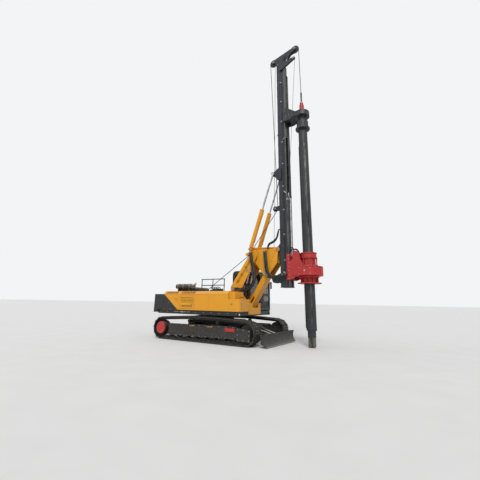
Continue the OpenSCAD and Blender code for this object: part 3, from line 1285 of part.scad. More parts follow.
// A tube swept along a route of points, each ring square to the route
function unit(v) = v / norm(v);
function heading(p, i) = unit(i == 0 ? p[1] - p[0] : i == len(p) - 1 ? p[i] - p[i - 1] : p[i + 1] - p[i - 1]);
function ring_points(p, i, r, n) =
    let (t = heading(p, i), side = unit(cross(t, [0.05, 1, 0.08])), up = cross(side, t))
    [for (k = [0:n - 1]) p[i] + r * (cos(360 * k / n) * side + sin(360 * k / n) * up)];
module swept_tube(p, r, n = 8) {
    m = len(p);
    polyhedron(
        points = [for (i = [0:m - 1]) for (q = ring_points(p, i, r, n)) q],
        faces = concat(
            [[for (k = [0:n - 1]) k]],
            [for (i = [0:m - 2]) for (k = [0:n - 1])
                [i * n + k, (i + 1) * n + k, (i + 1) * n + (k + 1) % n, i * n + (k + 1) % n]],
            [[for (k = [n - 1:-1:0]) (m - 1) * n + k]]));
}

// Hose bundle beside the boom, hanging from its head to its foot: [x, y, z]
hose_boom_r = 45;
hose_boom_route = [[1760, -470, 3330], [1760, -470, 3270], [1772, -470, 3190], [1792, -470, 3070], [1820, -470, 2930],
    [1855, -470, 2780], [1890, -470, 2630], [1915, -470, 2480], [1920, -470, 2330], [1895, -470, 2190],
    [1830, -470, 2070], [1720, -470, 1985], [1590, -470, 1935], [1450, -470, 1915], [1310, -470, 1920],
    [1190, -470, 1937], [1120, -470, 1943], [1060, -470, 1943]];
module hose_boom() placed() color(rubber) swept_tube(hose_boom_route, hose_boom_r);

// Hose bundle from the mast's side down and up to the drive: [x, y, z]
hose_drive_r = 40;
hose_drive_route = [[2300, -320, 3360], [2300, -320, 3300], [2318, -330, 3220], [2340, -345, 3110], [2355, -355, 2980],
    [2370, -360, 2850], [2385, -365, 2720], [2410, -370, 2600], [2460, -375, 2490], [2540, -380, 2400],
    [2640, -385, 2345], [2760, -390, 2330], [2880, -395, 2358],
    [2970, -400, 2405], [3035, -400, 2434], [3090, -400, 2434]];
module hose_drive() placed() color(rubber) swept_tube(hose_drive_route, hose_drive_r);

chassis();
slew_ring();
track_frame_right();
track_frame_left();
sprocket_right();
sprocket_left();
idler_right();
idler_left();
track_right();
track_left();
blade();
blade_barrels();
blade_rods();
platform();
counterweight();
side_panels();
right_housing();
left_housing();
front_tank();
engine_block();
hood();
right_door();
left_door();
silencer();
handrails();
valve_bank();
main_winch();
boom_foot();
cab_shell();
cab_fittings();
cab_glass();
cab_seat();
cab_door();
lamps();
boom();
link();
knuckle();
luff_barrels();
luff_rods();
mast();
crown();
crowd_barrel();
aux_winch();
mast_barrels();
mast_rods();
drive_sled();
drive_gearbox();
drive_motors();
crowd_rod();
drive_sleeve();
kelly_guide();
kelly_outer();
kelly_inner();
swivel();
hose_boom();
hose_drive();
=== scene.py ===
import json
import math

import bmesh
import bpy
from mathutils import Matrix, Vector


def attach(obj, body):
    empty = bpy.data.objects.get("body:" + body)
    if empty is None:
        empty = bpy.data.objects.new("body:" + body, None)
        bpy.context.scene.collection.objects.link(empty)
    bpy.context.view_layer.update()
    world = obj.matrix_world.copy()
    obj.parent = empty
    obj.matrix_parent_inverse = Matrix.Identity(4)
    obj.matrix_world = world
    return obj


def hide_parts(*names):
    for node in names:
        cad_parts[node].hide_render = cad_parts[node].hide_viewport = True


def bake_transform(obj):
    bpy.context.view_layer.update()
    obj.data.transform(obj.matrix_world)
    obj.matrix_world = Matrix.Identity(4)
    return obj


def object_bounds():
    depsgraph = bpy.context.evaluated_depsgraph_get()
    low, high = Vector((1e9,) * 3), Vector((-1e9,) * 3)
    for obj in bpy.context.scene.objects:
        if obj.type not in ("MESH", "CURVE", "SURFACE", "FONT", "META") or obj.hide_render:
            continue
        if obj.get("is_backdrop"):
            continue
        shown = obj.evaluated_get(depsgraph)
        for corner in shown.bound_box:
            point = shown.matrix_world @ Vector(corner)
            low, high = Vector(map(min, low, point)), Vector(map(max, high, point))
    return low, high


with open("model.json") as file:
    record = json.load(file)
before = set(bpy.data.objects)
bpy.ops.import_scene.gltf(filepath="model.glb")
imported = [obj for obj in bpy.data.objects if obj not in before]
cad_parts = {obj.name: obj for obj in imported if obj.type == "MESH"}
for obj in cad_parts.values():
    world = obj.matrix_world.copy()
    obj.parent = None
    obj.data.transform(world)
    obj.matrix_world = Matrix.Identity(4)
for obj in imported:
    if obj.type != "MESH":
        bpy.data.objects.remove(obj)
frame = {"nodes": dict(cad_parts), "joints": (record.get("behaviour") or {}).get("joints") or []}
cad_low, cad_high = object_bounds()
bpy.context.scene.view_settings.view_transform = "Standard"

# The camera stands on open ground ahead of the rig's right track and looks up at the mast.
# Its place, aim and focal length were solved from the tracks, the body and the mast.
slew_x = next(j["pos_m"][0] for j in frame["joints"] if j["name"] == "slew")
camera_place = Vector((7.776 + slew_x, -10.780, 1.449))
sensor_mm, frame_px, axis_px, focal_px = 36, 480, 213.5, 306.4
yaw, pitch, roll = 0.565, 0.281, 0.017
level = Vector((-math.sin(yaw), math.cos(yaw), 0))
side = Vector((math.cos(yaw), math.sin(yaw), 0))
aim = level * math.cos(pitch) + Vector((0, 0, math.sin(pitch)))
above = Vector((0, 0, math.cos(pitch))) - level * math.sin(pitch)
right = side * math.cos(roll) + above * math.sin(roll)
above = above * math.cos(roll) - side * math.sin(roll)
camera = bpy.data.objects.new("camera", bpy.data.cameras.new("camera"))
bpy.context.collection.objects.link(camera)
facing = Matrix((right, above, -aim)).transposed().to_4x4()
camera.matrix_world = Matrix.Translation(camera_place) @ facing
camera.data.sensor_width = sensor_mm
camera.data.lens = sensor_mm * focal_px / frame_px
camera.data.shift_y = (axis_px - frame_px / 2) / frame_px
camera.data.clip_start, camera.data.clip_end = 0.1, 900
bpy.context.scene.camera = camera


# The floor is pale floated concrete under an even white studio sky. A broad key and a weaker
# fill soften the shadows, and the sky shows white to the camera, in gloss and through glass.
def linear(hex_colour):
    channels = [int(hex_colour[i:i + 2], 16) / 255 for i in (1, 3, 5)]
    return [c / 12.92 if c <= 0.04045 else ((c + 0.055) / 1.055) ** 2.4 for c in channels] + [1.0]


def add(tree, kind, inputs=None, stops=(), **settings):
    """Adds a node with its settings. An input is a number, a hex colour, or what links to it."""
    node = tree.nodes.new("ShaderNode" + kind)
    for key, value in settings.items():
        setattr(node, key, value)
    for element, (place, tone) in zip(node.color_ramp.elements if stops else (), stops):
        element.position = place
        element.color = linear(tone) if isinstance(tone, str) else (tone, tone, tone, 1)
    for key, value in (inputs or {}).items():
        if isinstance(value, bpy.types.Node):
            value = next(socket for socket in value.outputs if socket.enabled)
        if isinstance(value, bpy.types.NodeSocket):
            tree.links.new(value, node.inputs[key])
        else:
            node.inputs[key].default_value = linear(value) if isinstance(value, str) else value
    return node


def new_material(name):
    """An empty material, its node tree, and the coordinates of the object that wears it."""
    material = bpy.data.materials.new(name)
    material.use_nodes = True
    tree = material.node_tree
    tree.nodes.clear()
    return material, tree, add(tree, "TexCoord").outputs["Object"]


sky = bpy.data.worlds.new("studio_sky")
bpy.context.scene.world = sky
sky.use_nodes = True
tree = sky.node_tree
tree.nodes.clear()
rays = add(tree, "LightPath")
seen = add(tree, "Math", {0: rays.outputs["Is Camera Ray"], 1: rays.outputs["Is Glossy Ray"]},
    operation="MAXIMUM")
seen = add(tree, "Math", {0: seen, 1: rays.outputs["Is Transmission Ray"]}, operation="MAXIMUM")
lit = add(tree, "Background", {"Color": "#EDF1F6", "Strength": 0.53})
shown = add(tree, "Background", {"Color": "#F3F4F5", "Strength": 1.0})
sky_mix = add(tree, "MixShader", {0: seen, 1: lit, 2: shown})
add(tree, "OutputWorld", {"Surface": sky_mix})

for name, energy, spread, turn in (
        ("key_sun", 2.0, 0.35, (47, 0, 30)),
        ("fill_sun", 0.45, 0.9, (60, 0, -80))):
    lamp = bpy.data.objects.new(name, bpy.data.lights.new(name, "SUN"))
    lamp.data.energy, lamp.data.angle = energy, spread
    lamp.rotation_euler = [math.radians(a) for a in turn]
    bpy.context.collection.objects.link(lamp)

concrete, tree, place = new_material("floated_concrete")
mottle = add(tree, "TexNoise", {"Vector": place, "Scale": 1.4, "Detail": 8.0})
tone = add(tree, "ValToRGB", {"Fac": mottle}, stops=((0.3, "#DEDDDA"), (0.7, "#E2E1DE")))
surface = add(tree, "BsdfPrincipled", {"Base Color": tone, "Roughness": 0.85})
add(tree, "OutputMaterial", {"Surface": surface})
floor_r, floor_sides = 400, 96
ground = bpy.data.meshes.new("floor")
ground.from_pydata([(floor_r * math.cos(a), floor_r * math.sin(a), 0) for a in
    (2 * math.pi * k / floor_sides for k in range(floor_sides))], [], [list(range(floor_sides))])
floor = bpy.data.objects.new("floor", ground)
floor.data.materials.append(concrete)
bpy.context.collection.objects.link(floor)
floor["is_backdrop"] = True


# Hydraulic hoses: nitrile rubber over steel braid, 43 mm across, in bundles of six from the
# deck over the boom, and from the knuckle to the mast. Each ends in a crimped steel ferrule.
def at(x, y, z):
    """A place given in the drawing's millimetres, measured from the slewing axis."""
    return Vector((x / 1000 + slew_x, y / 1000, z / 1000))


forward, leftward, up = Vector((1, 0, 0)), Vector((0, 1, 0)), Vector((0, 0, 1))


def finish(name, bm, materials, body=None):
    """Makes the object, smooth but for its sharp edges, and sets its body and slot."""
    bmesh.ops.recalc_face_normals(bm, faces=bm.faces)
    mesh = bpy.data.meshes.new(name)
    bm.to_mesh(mesh)
    bm.free()
    for material in materials if isinstance(materials, (list, tuple)) else [materials]:
        mesh.materials.append(material)
    mesh.polygons.foreach_set("use_smooth", [True] * len(mesh.polygons))
    mesh.set_sharp_from_angle(angle=math.radians(35))
    piece = bpy.data.objects.new(name, mesh)
    bpy.context.collection.objects.link(piece)
    if body:
        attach(piece, body)
    return piece


def smooth_route(points, step):
    """Points about a step apart on a smooth curve through the given ones."""
    out = []
    ends = [points[0] * 2 - points[1]] + list(points) + [points[-1] * 2 - points[-2]]
    for a, b, c, d in zip(ends, ends[1:], ends[2:], ends[3:]):
        count = max(1, round((c - b).length / step))
        for t in (k / count for k in range(count)):
            out.append(0.5 * (2 * b + (c - a) * t + (2 * a - 5 * b + 4 * c - d) * t * t
                + (3 * b - a - 3 * c + d) * t ** 3))
    return out + [points[-1].copy()]


def tube(bm, route, radius, sides=10, material=0):
    rings, normal = [], None
    for i, p in enumerate(route):
        heading = (route[min(i + 1, len(route) - 1)] - route[max(i - 1, 0)]).normalized()
        normal = normal or heading.orthogonal().normalized()
        normal = (normal - heading * normal.dot(heading)).normalized()
        across = heading.cross(normal)
        rings.append([bm.verts.new(p + radius * (math.cos(a) * normal + math.sin(a) * across))
            for a in (2 * math.pi * k / sides for k in range(sides))])
    faces = [bm.faces.new((one[k], one[(k + 1) % sides], two[(k + 1) % sides], two[k]))
        for one, two in zip(rings, rings[1:]) for k in range(sides)]
    for face in faces + [bm.faces.new(rings[0]), bm.faces.new(rings[-1][::-1])]:
        face.material_index = material


def turned(bm, place, axis, profile, sides=24, material=0, bored=False):
    """A turned or hexagonal form. Its profile is a list of [radius, height along the axis] in mm.
    A bored one is a ring, whose profile comes back round to its start."""
    axis = axis.normalized()
    u = axis.orthogonal().normalized()
    v = axis.cross(u)
    rings = [[bm.verts.new(place + axis * h / 1000 + r / 1000 * (math.cos(a) * u + math.sin(a) * v))
        for a in (2 * math.pi * k / sides for k in range(sides))] for r, h in profile]
    faces = [bm.faces.new((one[k], one[(k + 1) % sides], two[(k + 1) % sides], two[k]))
        for one, two in zip(rings, rings[1:] + (rings[:1] if bored else [])) for k in range(sides)]
    for face in faces + ([] if bored else [bm.faces.new(rings[0][::-1]), bm.faces.new(rings[-1])]):
        face.material_index = material


def run_length(route):
    return sum((b - a).length for a, b in zip(route, route[1:]))


# Dull black with a dusty bloom. The cover's 2 mm cloth print is drawn at 4 mm to show
rubber, tree, place = new_material("braided_nitrile_rubber")
bloom = add(tree, "TexNoise", {"Vector": place, "Scale": 1000 / 120, "Detail": 7.0})
tone = add(tree, "ValToRGB", {"Fac": bloom}, stops=((0.38, "#17181A"), (0.78, "#45423D")))
cloth = add(tree, "TexVoronoi", {"Vector": place, "Scale": 1000 / 4})
relief = add(tree, "Bump", {"Height": cloth, "Strength": 0.3, "Distance": 0.001})
surface = add(tree, "BsdfPrincipled", {"Base Color": tone, "Roughness": 0.6, "Normal": relief})
add(tree, "OutputMaterial", {"Surface": surface})


def patchy(name, patch, detail, tones, roughness, metallic=0.0, grain=None):
    """A finish whose tone drifts in patches of that size in mm, and its gloss too where roughness
    is a pair. grain is its relief: the size in mm, the detail, the strength and the depth in m."""
    material, tree, place = new_material(name)
    drift = add(tree, "TexNoise", {"Vector": place, "Scale": 1000 / patch, "Detail": detail})
    tone = add(tree, "ValToRGB", {"Fac": drift}, stops=tones)
    sockets = {"Base Color": tone, "Metallic": metallic, "Roughness": roughness}
    if isinstance(roughness, tuple):
        glossy, dull = roughness
        sockets["Roughness"] = add(tree, "MapRange", {"Value": drift, "To Min": glossy, "To Max": dull})
    if grain:
        size, fine, strength, depth = grain
        bumps = add(tree, "TexNoise", {"Vector": place, "Scale": 1000 / size, "Detail": fine})
        sockets["Normal"] = add(tree, "Bump", {"Height": bumps, "Strength": strength,
            "Distance": depth})
    surface = add(tree, "BsdfPrincipled", sockets)
    add(tree, "OutputMaterial", {"Surface": surface})
    return material


# Pale grey plate with a faint yellow cast, dulled by handling and road dust
zinc = patchy("zinc_plated_steel", 18, 5.0, ((0.3, "#8E8B82"), (0.7, "#BDBAB0")), (0.35, 0.6), 1.0)

hose_r = 0.0215
# Each hose's place in its bundle, outward and across in mm, and how far it bows out of it
lay_up = [(out, over) for over in (49, 0, -49) for out in (23, -23)]
bows = (0.5, 0.1, 0.3, 0.7, 0.6, 0.2)
boom_hose = [at(*p) for p in (
    (1760, -470, 3330), (1760, -470, 3270), (1772, -470, 3190), (1792, -470, 3070),
    (1820, -470, 2930), (1855, -470, 2780), (1890, -470, 2630), (1915, -470, 2480),
    (1920, -470, 2330), (1895, -470, 2190), (1830, -470, 2070), (1720, -470, 1985),
    (1590, -470, 1935), (1450, -470, 1915), (1310, -470, 1920), (1190, -470, 1937),
    (1120, -470, 1943), (1060, -470, 1943))]
drive_hose = [at(*p) for p in (
    (2300, -320, 3360), (2300, -320, 3300), (2318, -330, 3220), (2340, -345, 3110),
    (2355, -355, 2980), (2370, -360, 2850), (2385, -365, 2720), (2410, -370, 2600),
    (2460, -375, 2490), (2540, -380, 2400), (2640, -385, 2345), (2760, -390, 2330),
    (2880, -395, 2358), (2970, -400, 2405), (3035, -400, 2434), (3090, -400, 2434))]
for bundle, route, bodies, node_name in (
        ("boom_hose", boom_hose, ("boom", "upper"), "hose_boom"),
        ("drive_hose", drive_hose, ("knuckle", "mast"), "hose_drive")):
    for number, (out, over) in enumerate(lay_up):
        shifted = []
        for i, p in enumerate(route):
            heading = (route[min(i + 1, len(route) - 1)] - route[max(i - 1, 0)]).normalized()
            outward = heading.cross(leftward).normalized()
            sway = 1 + bows[number] * math.sin(math.pi * i / (len(route) - 1))
            shifted.append(p + outward * out / 1000 * sway + Vector((0, over / 1000, 0)))
        line = smooth_route(shifted, 0.03)
        bm = bmesh.new()
        tube(bm, line, hose_r, 12)
        hose = finish(f"{bundle}_{number + 1}", bm, rubber)
        if bundle == "boom_hose":
            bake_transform(hose)
        else:
            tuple(line[0])
            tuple(line[-1])
            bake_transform(hose)
        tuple(line[0])
        run_length(line)
        if number == 0:
            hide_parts(node_name)
    for name, end, back, body in (
            ("upper_end", route[0], route[1], bodies[0]),
            ("lower_end", route[-1], route[-2], bodies[1])):
        bm = bmesh.new()
        inward = (back - end).normalized()
        outward = inward.cross(leftward).normalized()
        for out, over in lay_up:
            centre = end + outward * out / 1000 + Vector((0, over / 1000, 0))
            turned(bm, centre, inward, [(23.5, 0), (23.5, 14), (22.6, 16), (22.6, 46), (21.6, 52)], 6)
        finish(f"{bundle}_ferrules_{name}", bm, zinc, body)


# Undercarriage: welded steel frames in black enamel. The tracks are forged links with rolled
# steel shoes, four bolts to a shoe, and the final drives carry round red covers.
def coat(materials, *names, pick=None):
    """Gives CAD nodes their finish. pick says which of the materials a face takes."""
    for name in names:
        mesh = frame["nodes"][name].data
        mesh.materials.clear()
        for material in materials if isinstance(materials, (list, tuple)) else [materials]:
            mesh.materials.append(material)
        for face in mesh.polygons:
            face.material_index = pick(face) if pick else 0


def enamel(name, colour, faded, bare, roughness=0.36, dust=0.5, wear=0.5, mud=0.0):
    """Sprayed alkyd enamel: it fades in patches, streaks with rain and rubs through at its edges."""
    material, tree, place = new_material(name)
    # The sun fades it in patches a metre wide
    fade = add(tree, "TexNoise", {"Vector": place, "Scale": 1000 / 1100, "Detail": 5.0})
    fade = add(tree, "ValToRGB", {"Fac": fade}, stops=((0.35, 0.0), (0.7, 1.0)))
    tone = add(tree, "Mix", {0: fade, 6: colour, 7: faded}, data_type="RGBA")
    # Rain streaks, 60 mm apart and a metre and more long
    drawn = add(tree, "Mapping", {"Vector": place, "Scale": (1000 / 60, 1000 / 60, 1000 / 1400)})
    streak = add(tree, "TexNoise", {"Vector": drawn, "Scale": 1.0, "Detail": 6.0})
    streak = add(tree, "ValToRGB", {"Fac": streak}, stops=((0.5, 0.0), (0.85, 0.16 * dust)))
    tone = add(tree, "Mix", {0: streak, 6: tone, 7: "#A39682"}, data_type="RGBA")
    # Dust lies on what faces up, in patches of 250 mm
    level = add(tree, "SeparateXYZ", {0: place.node.outputs["Normal"]}).outputs["Z"]
    level = add(tree, "ValToRGB", {"Fac": level}, stops=((0.25, 0.0), (0.95, 1.0)))
    patch = add(tree, "TexNoise", {"Vector": place, "Scale": 1000 / 250, "Detail": 7.0})
    lying = add(tree, "ValToRGB", {"Fac": patch}, stops=((0.3, 0.1), (0.75, dust)))
    lying = add(tree, "Math", {0: level, 1: lying}, operation="MULTIPLY")
    tone = add(tree, "Mix", {0: lying, 6: tone, 7: "#A39682"}, data_type="RGBA")
    # Splashed mud thins out upwards from the ground
    if mud:
        height = add(tree, "SeparateXYZ", {0: place}).outputs["Z"]
        low = add(tree, "MapRange", {"Value": height, "From Min": 0.0, "From Max": 0.9, "To Min": mud,
            "To Max": 0.0})
        splash = add(tree, "TexNoise", {"Vector": place, "Scale": 1000 / 90, "Detail": 9.0,
            "Roughness": 0.7})
        splash = add(tree, "ValToRGB", {"Fac": splash}, stops=((0.42, 0.0), (0.6, 1.0)))
        splash = add(tree, "Math", {0: splash, 1: low}, operation="MULTIPLY")
        tone = add(tree, "Mix", {0: splash, 6: tone, 7: "#7A6B55"}, data_type="RGBA")
    # The eye reads an edge where the rounded normal leaves the face's own, within 10 mm
    geometry = add(tree, "NewGeometry")
    rounded = add(tree, "Bevel", {"Radius": 0.010}, samples=4)
    turn = add(tree, "VectorMath", {0: rounded, 1: geometry.outputs["Normal"]}, operation="DOT_PRODUCT")
    turn = add(tree, "ValToRGB", {"Fac": turn.outputs["Value"]}, stops=((0.86, wear), (0.985, 0.0)))
    chips = add(tree, "TexNoise", {"Vector": place, "Scale": 1000 / 38, "Detail": 8.0})
    chips = add(tree, "ValToRGB", {"Fac": chips}, stops=((0.5, 0.0), (0.62, 1.0)))
    rubbed = add(tree, "Math", {0: turn, 1: chips}, operation="MULTIPLY")
    tone = add(tree, "Mix", {0: rubbed, 6: tone, 7: bare}, data_type="RGBA")
    gloss = add(tree, "MapRange", {"Value": patch, "To Min": roughness,
        "To Max": min(roughness + 0.3, 0.95)})
    # Orange peel of the spray gun, drawn at 6 mm to show
    peel = add(tree, "TexNoise", {"Vector": place, "Scale": 1000 / 6, "Detail": 2.0})
    relief = add(tree, "Bump", {"Height": peel, "Normal": rounded, "Strength": 0.08, "Distance": 0.002})
    surface = add(tree, "BsdfPrincipled", {"Base Color": tone, "Roughness": gloss, "IOR": 1.5,
        "Normal": relief})
    add(tree, "OutputMaterial", {"Surface": surface})
    return material


black_enamel = enamel("black_enamel", "#121415", "#1A1C1E", "#6B6865", roughness=0.3, dust=0.3,
    wear=0.4)
frame_enamel = enamel("frame_enamel", "#151617", "#1F1F1F", "#6F675B", roughness=0.42, dust=0.4,
    wear=0.4, mud=0.22)
red_enamel = enamel("red_enamel", "#AE1E20", "#A82A28", "#5F4A44", dust=0.22, wear=0.45)

# Brown-grey mill steel with dried clay in its corners, ground bright where the bars touch down
track_steel, tree, place = new_material("rolled_track_steel")
mill = add(tree, "TexNoise", {"Vector": place, "Scale": 1000 / 160, "Detail": 8.0})
tone = add(tree, "ValToRGB", {"Fac": mill}, stops=((0.35, "#1D1D1C"), (0.7, "#34312D")))
clay = add(tree, "TexNoise", {"Vector": place, "Scale": 1000 / 55, "Detail": 9.0, "Roughness": 0.65})
clay = add(tree, "ValToRGB", {"Fac": clay}, stops=((0.5, 0.0), (0.66, 0.6)))
tone = add(tree, "Mix", {0: clay, 6: tone, 7: "#675C48"}, data_type="RGBA")
geometry = add(tree, "NewGeometry")
rounded = add(tree, "Bevel", {"Radius": 0.008}, samples=4)
turn = add(tree, "VectorMath", {0: rounded, 1: geometry.outputs["Normal"]}, operation="DOT_PRODUCT")
edge = add(tree, "ValToRGB", {"Fac": turn.outputs["Value"]}, stops=((0.86, 0.8), (0.98, 0.0)))
tone = add(tree, "Mix", {0: edge, 6: tone, 7: "#8D867C"}, data_type="RGBA")
metal = add(tree, "MapRange", {"Value": edge, "To Min": 0.25, "To Max": 0.9})
grit = add(tree, "TexNoise", {"Vector": place, "Scale": 1000 / 9, "Detail": 6.0})
relief = add(tree, "Bump", {"Height": grit, "Normal": rounded, "Strength": 0.35, "Distance": 0.003})
surface = add(tree, "BsdfPrincipled", {"Base Color": tone, "Metallic": metal, "Roughness": 0.62,
    "Normal": relief})
add(tree, "OutputMaterial", {"Surface": surface})

coat(frame_enamel, "chassis", "track_frame_right", "track_frame_left")
coat(track_steel, "track_right", "track_left", "idler_right", "idler_left", "slew_ring")
cap_face = 1.3585  # the sprockets are red outside this distance from the middle
coat([frame_enamel, red_enamel], "sprocket_right", "sprocket_left",
    pick=lambda face: int(abs(face.center.y) > cap_face))


def bolt(bm, place, axis, size, material=0):
    """A hexagon bolt head of that width across its flats, in mm, with its washer."""
    turned(bm, place, axis, [(size * 0.72, 0), (size * 0.72, size * 0.12)], 12, material)
    turned(bm, place, axis, [(size * 0.56, size * 0.1), (size * 0.56, size * 0.52),
        (size * 0.46, size * 0.62)], 6, material)


def bolt_ring(bm, centre, axis, radius, count, size, start=0.5, material=0):
    u = axis.orthogonal().normalized()
    v = axis.cross(u)
    for k in range(count):
        a = 2 * math.pi * (k + start) / count
        bolt(bm, centre + radius / 1000 * (math.cos(a) * u + math.sin(a) * v), axis, size, material)


# Shoe bolts stand on the two flats of each shoe, beside the link rails. A flat is an outward
# face that runs across the track and is as wide as the space between two bars.
shoe_length, flat_widths, rail_half = 0.5, (0.045, 0.065), 65
track_middle = at(110, 0, 420)
for side_name in ("right", "left"):
    mesh = frame["nodes"][f"track_{side_name}"].data
    flats = {}
    for face in mesh.polygons:
        corners = [mesh.vertices[i].co for i in face.vertices]
        sides = zip(corners, corners[1:] + corners[:1])
        spans = sorted((((a - b).length, (a + b) / 2) for a, b in sides), key=lambda span: span[0])
        middle = spans[-1][1]
        outward = middle - Vector((track_middle.x, middle.y, track_middle.z))
        if (abs(face.normal.y) < 0.01 and spans[-1][0] > shoe_length
                and flat_widths[0] < spans[0][0] < flat_widths[1] and face.normal.dot(outward) > 0):
            flats[tuple(round(c, 3) for c in middle)] = (middle, face.normal.copy())
    bm = bmesh.new()
    for middle, normal in flats.values():
        for y in (-rail_half, rail_half):
            bolt(bm, middle + Vector((0, y / 1000, 0)), normal, 24)
    finish(f"shoe_bolts_{side_name}", bm, zinc, "root")

# Final drive covers: a pressed rim with twelve bolts round it, a raised boss and two oil plugs.
# The track frame's plate leans: its top and bottom edges rise towards the front.
hub_x, hub_z, cover_y, plate_y = -1850, 420, 1395, 1343
plate_x, plate_run, plate_rows = -1470, 3170, ((573, 15), (190, 40))
for side_name, s in (("right", -1), ("left", 1)):
    out = Vector((0, s, 0))
    hub = at(hub_x, s * cover_y, hub_z)
    bm = bmesh.new()
    turned(bm, hub, out, [(212, 0), (212, 4), (206, 6), (150, 6), (146, 4)], 64)
    turned(bm, hub, out, [(96, 0), (96, 5), (90, 7), (40, 7)], 48)
    finish(f"drive_cover_{side_name}", bm, red_enamel, "root")
    bm = bmesh.new()
    bolt_ring(bm, hub - out * 0.005, out, 180, 12, 27)
    for a in (0.5, 2.4):
        plug = hub + Vector((0.06 * math.cos(a), s * 0.001, 0.06 * math.sin(a)))
        turned(bm, plug, out, [(14, 0), (14, 9), (11, 10)], 6)
    # Idler box and the guard plate along the track frame
    for x, z in ((1770, 200), (1770, 370), (1770, 530), (2000, 195), (2000, 520), (2220, 200),
            (2220, 360), (2220, 500)):
        bolt(bm, at(x, s * plate_y, z), out, 24)
    for x in range(-1380, 1581, 296):
        for z, rise in plate_rows:
            bolt(bm, at(x, s * plate_y, z + rise * (x - plate_x) / plate_run), out, 22)
    bolt_ring(bm, at(2070, s * 1330, hub_z - 30), out, 60, 6, 22)
    finish(f"track_frame_bolts_{side_name}", bm, zinc, "root")


# Dozer blade: a rolled mouldboard with a bolted edge of hard steel, scoured bright by the ground.
def cast(node_name, origin, direction):
    """Where a line from origin first meets that CAD node, and the surface's normal there."""
    hit, place, normal, _ = frame["nodes"][node_name].ray_cast(origin, Vector(direction).normalized())
    return (place, normal) if hit else (None, None)


def bolts_on(bm, node_name, origins, direction, size, material=0):
    """Bolts where the lines from those origins meet the node. The lines start clear of the rig."""
    for origin in origins:
        place, normal = cast(node_name, origin, direction)
        if place:
            bolt(bm, place - normal * 0.001, normal, size, material)


def block(bm, one, other, edge=4, material=0, turn=None):
    """A plate or block between two opposite corners in mm, its edges broken by a chamfer."""
    one, other = at(*one), at(*other)
    size = [abs(side) for side in other - one]
    place = Matrix.Translation((one + other) / 2) @ (turn or Matrix()) @ Matrix.Diagonal((*size, 1))
    cube = bmesh.ops.create_cube(bm, size=1, matrix=place)["verts"]
    faces = {f for v in cube for f in v.link_faces}
    for face in faces:
        face.material_index = material
    edges = {e for v in cube for e in v.link_edges}
    bmesh.ops.bevel(bm, geom=list(edges), offset=edge / 1000, segments=2, affect="EDGES", profile=0.6)


def bar(bm, a, b, radius, sides=12, material=0):
    """A straight round bar between two places, radius in mm, its ends lightly broken."""
    span = (b - a).length * 1000
    rim = min(radius * 0.2, 3)
    turned(bm, a, b - a, [(radius - rim, 0), (radius, rim), (radius, span - rim), (radius - rim, span)],
        sides, material)


def cylinder_trim(bm, foot, eye, reach, barrel, out, steel=1):
    """A gland ring, weld ring, ports and feed pipe for a cylinder whose barrel is reach mm long."""
    along = (eye - foot).normalized()
    turned(bm, foot + along * (reach - 40) / 1000, along, [(barrel - 2, 0), (barrel + 9, 3),
        (barrel + 9, 42), (barrel + 5, 48), (barrel * 0.6, 48), (barrel * 0.6, 38)], 40, bored=True)
    u = along.orthogonal().normalized()
    for a in (2 * math.pi * k / 8 for k in range(8)):
        aside = (math.cos(a) * u + math.sin(a) * along.cross(u)) * barrel * 0.9 / 1000
        turned(bm, foot + along * (reach + 8) / 1000 + aside, along,
            [(barrel * 0.08, 0), (barrel * 0.08, 5), (barrel * 0.06, 6)], 8, steel)
    turned(bm, foot + along * (barrel * 1.5) / 1000, along, [(barrel - 1, 0), (barrel + 4, 4),
        (barrel - 1, 8)], 40)
    near, far = foot + along * barrel * 2.2 / 1000, foot + along * (reach - 90) / 1000
    for spot in (near, far):
        turned(bm, spot + out * (barrel - 4) / 1000, out, [(17, 0), (17, 20), (13, 24)], 16)
        turned(bm, spot + out * (barrel + 18) / 1000, out, [(13, 0), (13, 12), (8, 12)], 6, steel)
    gap = (barrel + 20) / 1000
    feed = [far + out * gap, far + out * (gap + 0.014) - along * 0.03,
        far + out * (gap + 0.004) - along * 0.1, (far + near) / 2 + out * (gap - 0.004),
        near + out * (gap + 0.002) + along * 0.12]
    tube(bm, smooth_route(feed, 0.05), 0.008, 8, steel)
    for t in (0.3, 0.72):
        clip = near.lerp(far, t) + out * (barrel - 2) / 1000
        turned(bm, clip, out, [(14, 0), (14, 22), (10, 25)], 8)


# Ground and polished plating under a thin oil film, which greys it in soft patches
chrome = patchy("hard_chrome_rod", 140, 6.0, ((0.35, "#A9ACAF"), (0.65, "#D3D6D8")), (0.1, 0.26), 1.0)

# Steel scoured by soil: fine drawn scratches, grey-brown where the rust has come back
steel, tree, place = new_material("bright_worn_steel")
drawn = add(tree, "Mapping", {"Vector": place, "Scale": (1000 / 7, 1000 / 90, 1000 / 7)})
scratch = add(tree, "TexNoise", {"Vector": drawn, "Scale": 1.0, "Detail": 6.0})
stain = add(tree, "TexNoise", {"Vector": place, "Scale": 1000 / 75, "Detail": 8.0})
tone = add(tree, "ValToRGB", {"Fac": stain}, stops=((0.38, "#8F8C86"), (0.68, "#5E5146")))
tone = add(tree, "Mix", {0: scratch, 6: tone, 7: "#A7A49D"}, data_type="RGBA")
relief = add(tree, "Bump", {"Height": scratch, "Strength": 0.25, "Distance": 0.001})
surface = add(tree, "BsdfPrincipled", {"Base Color": tone, "Metallic": 0.9, "Roughness": 0.42,
    "Normal": relief})
add(tree, "OutputMaterial", {"Surface": surface})

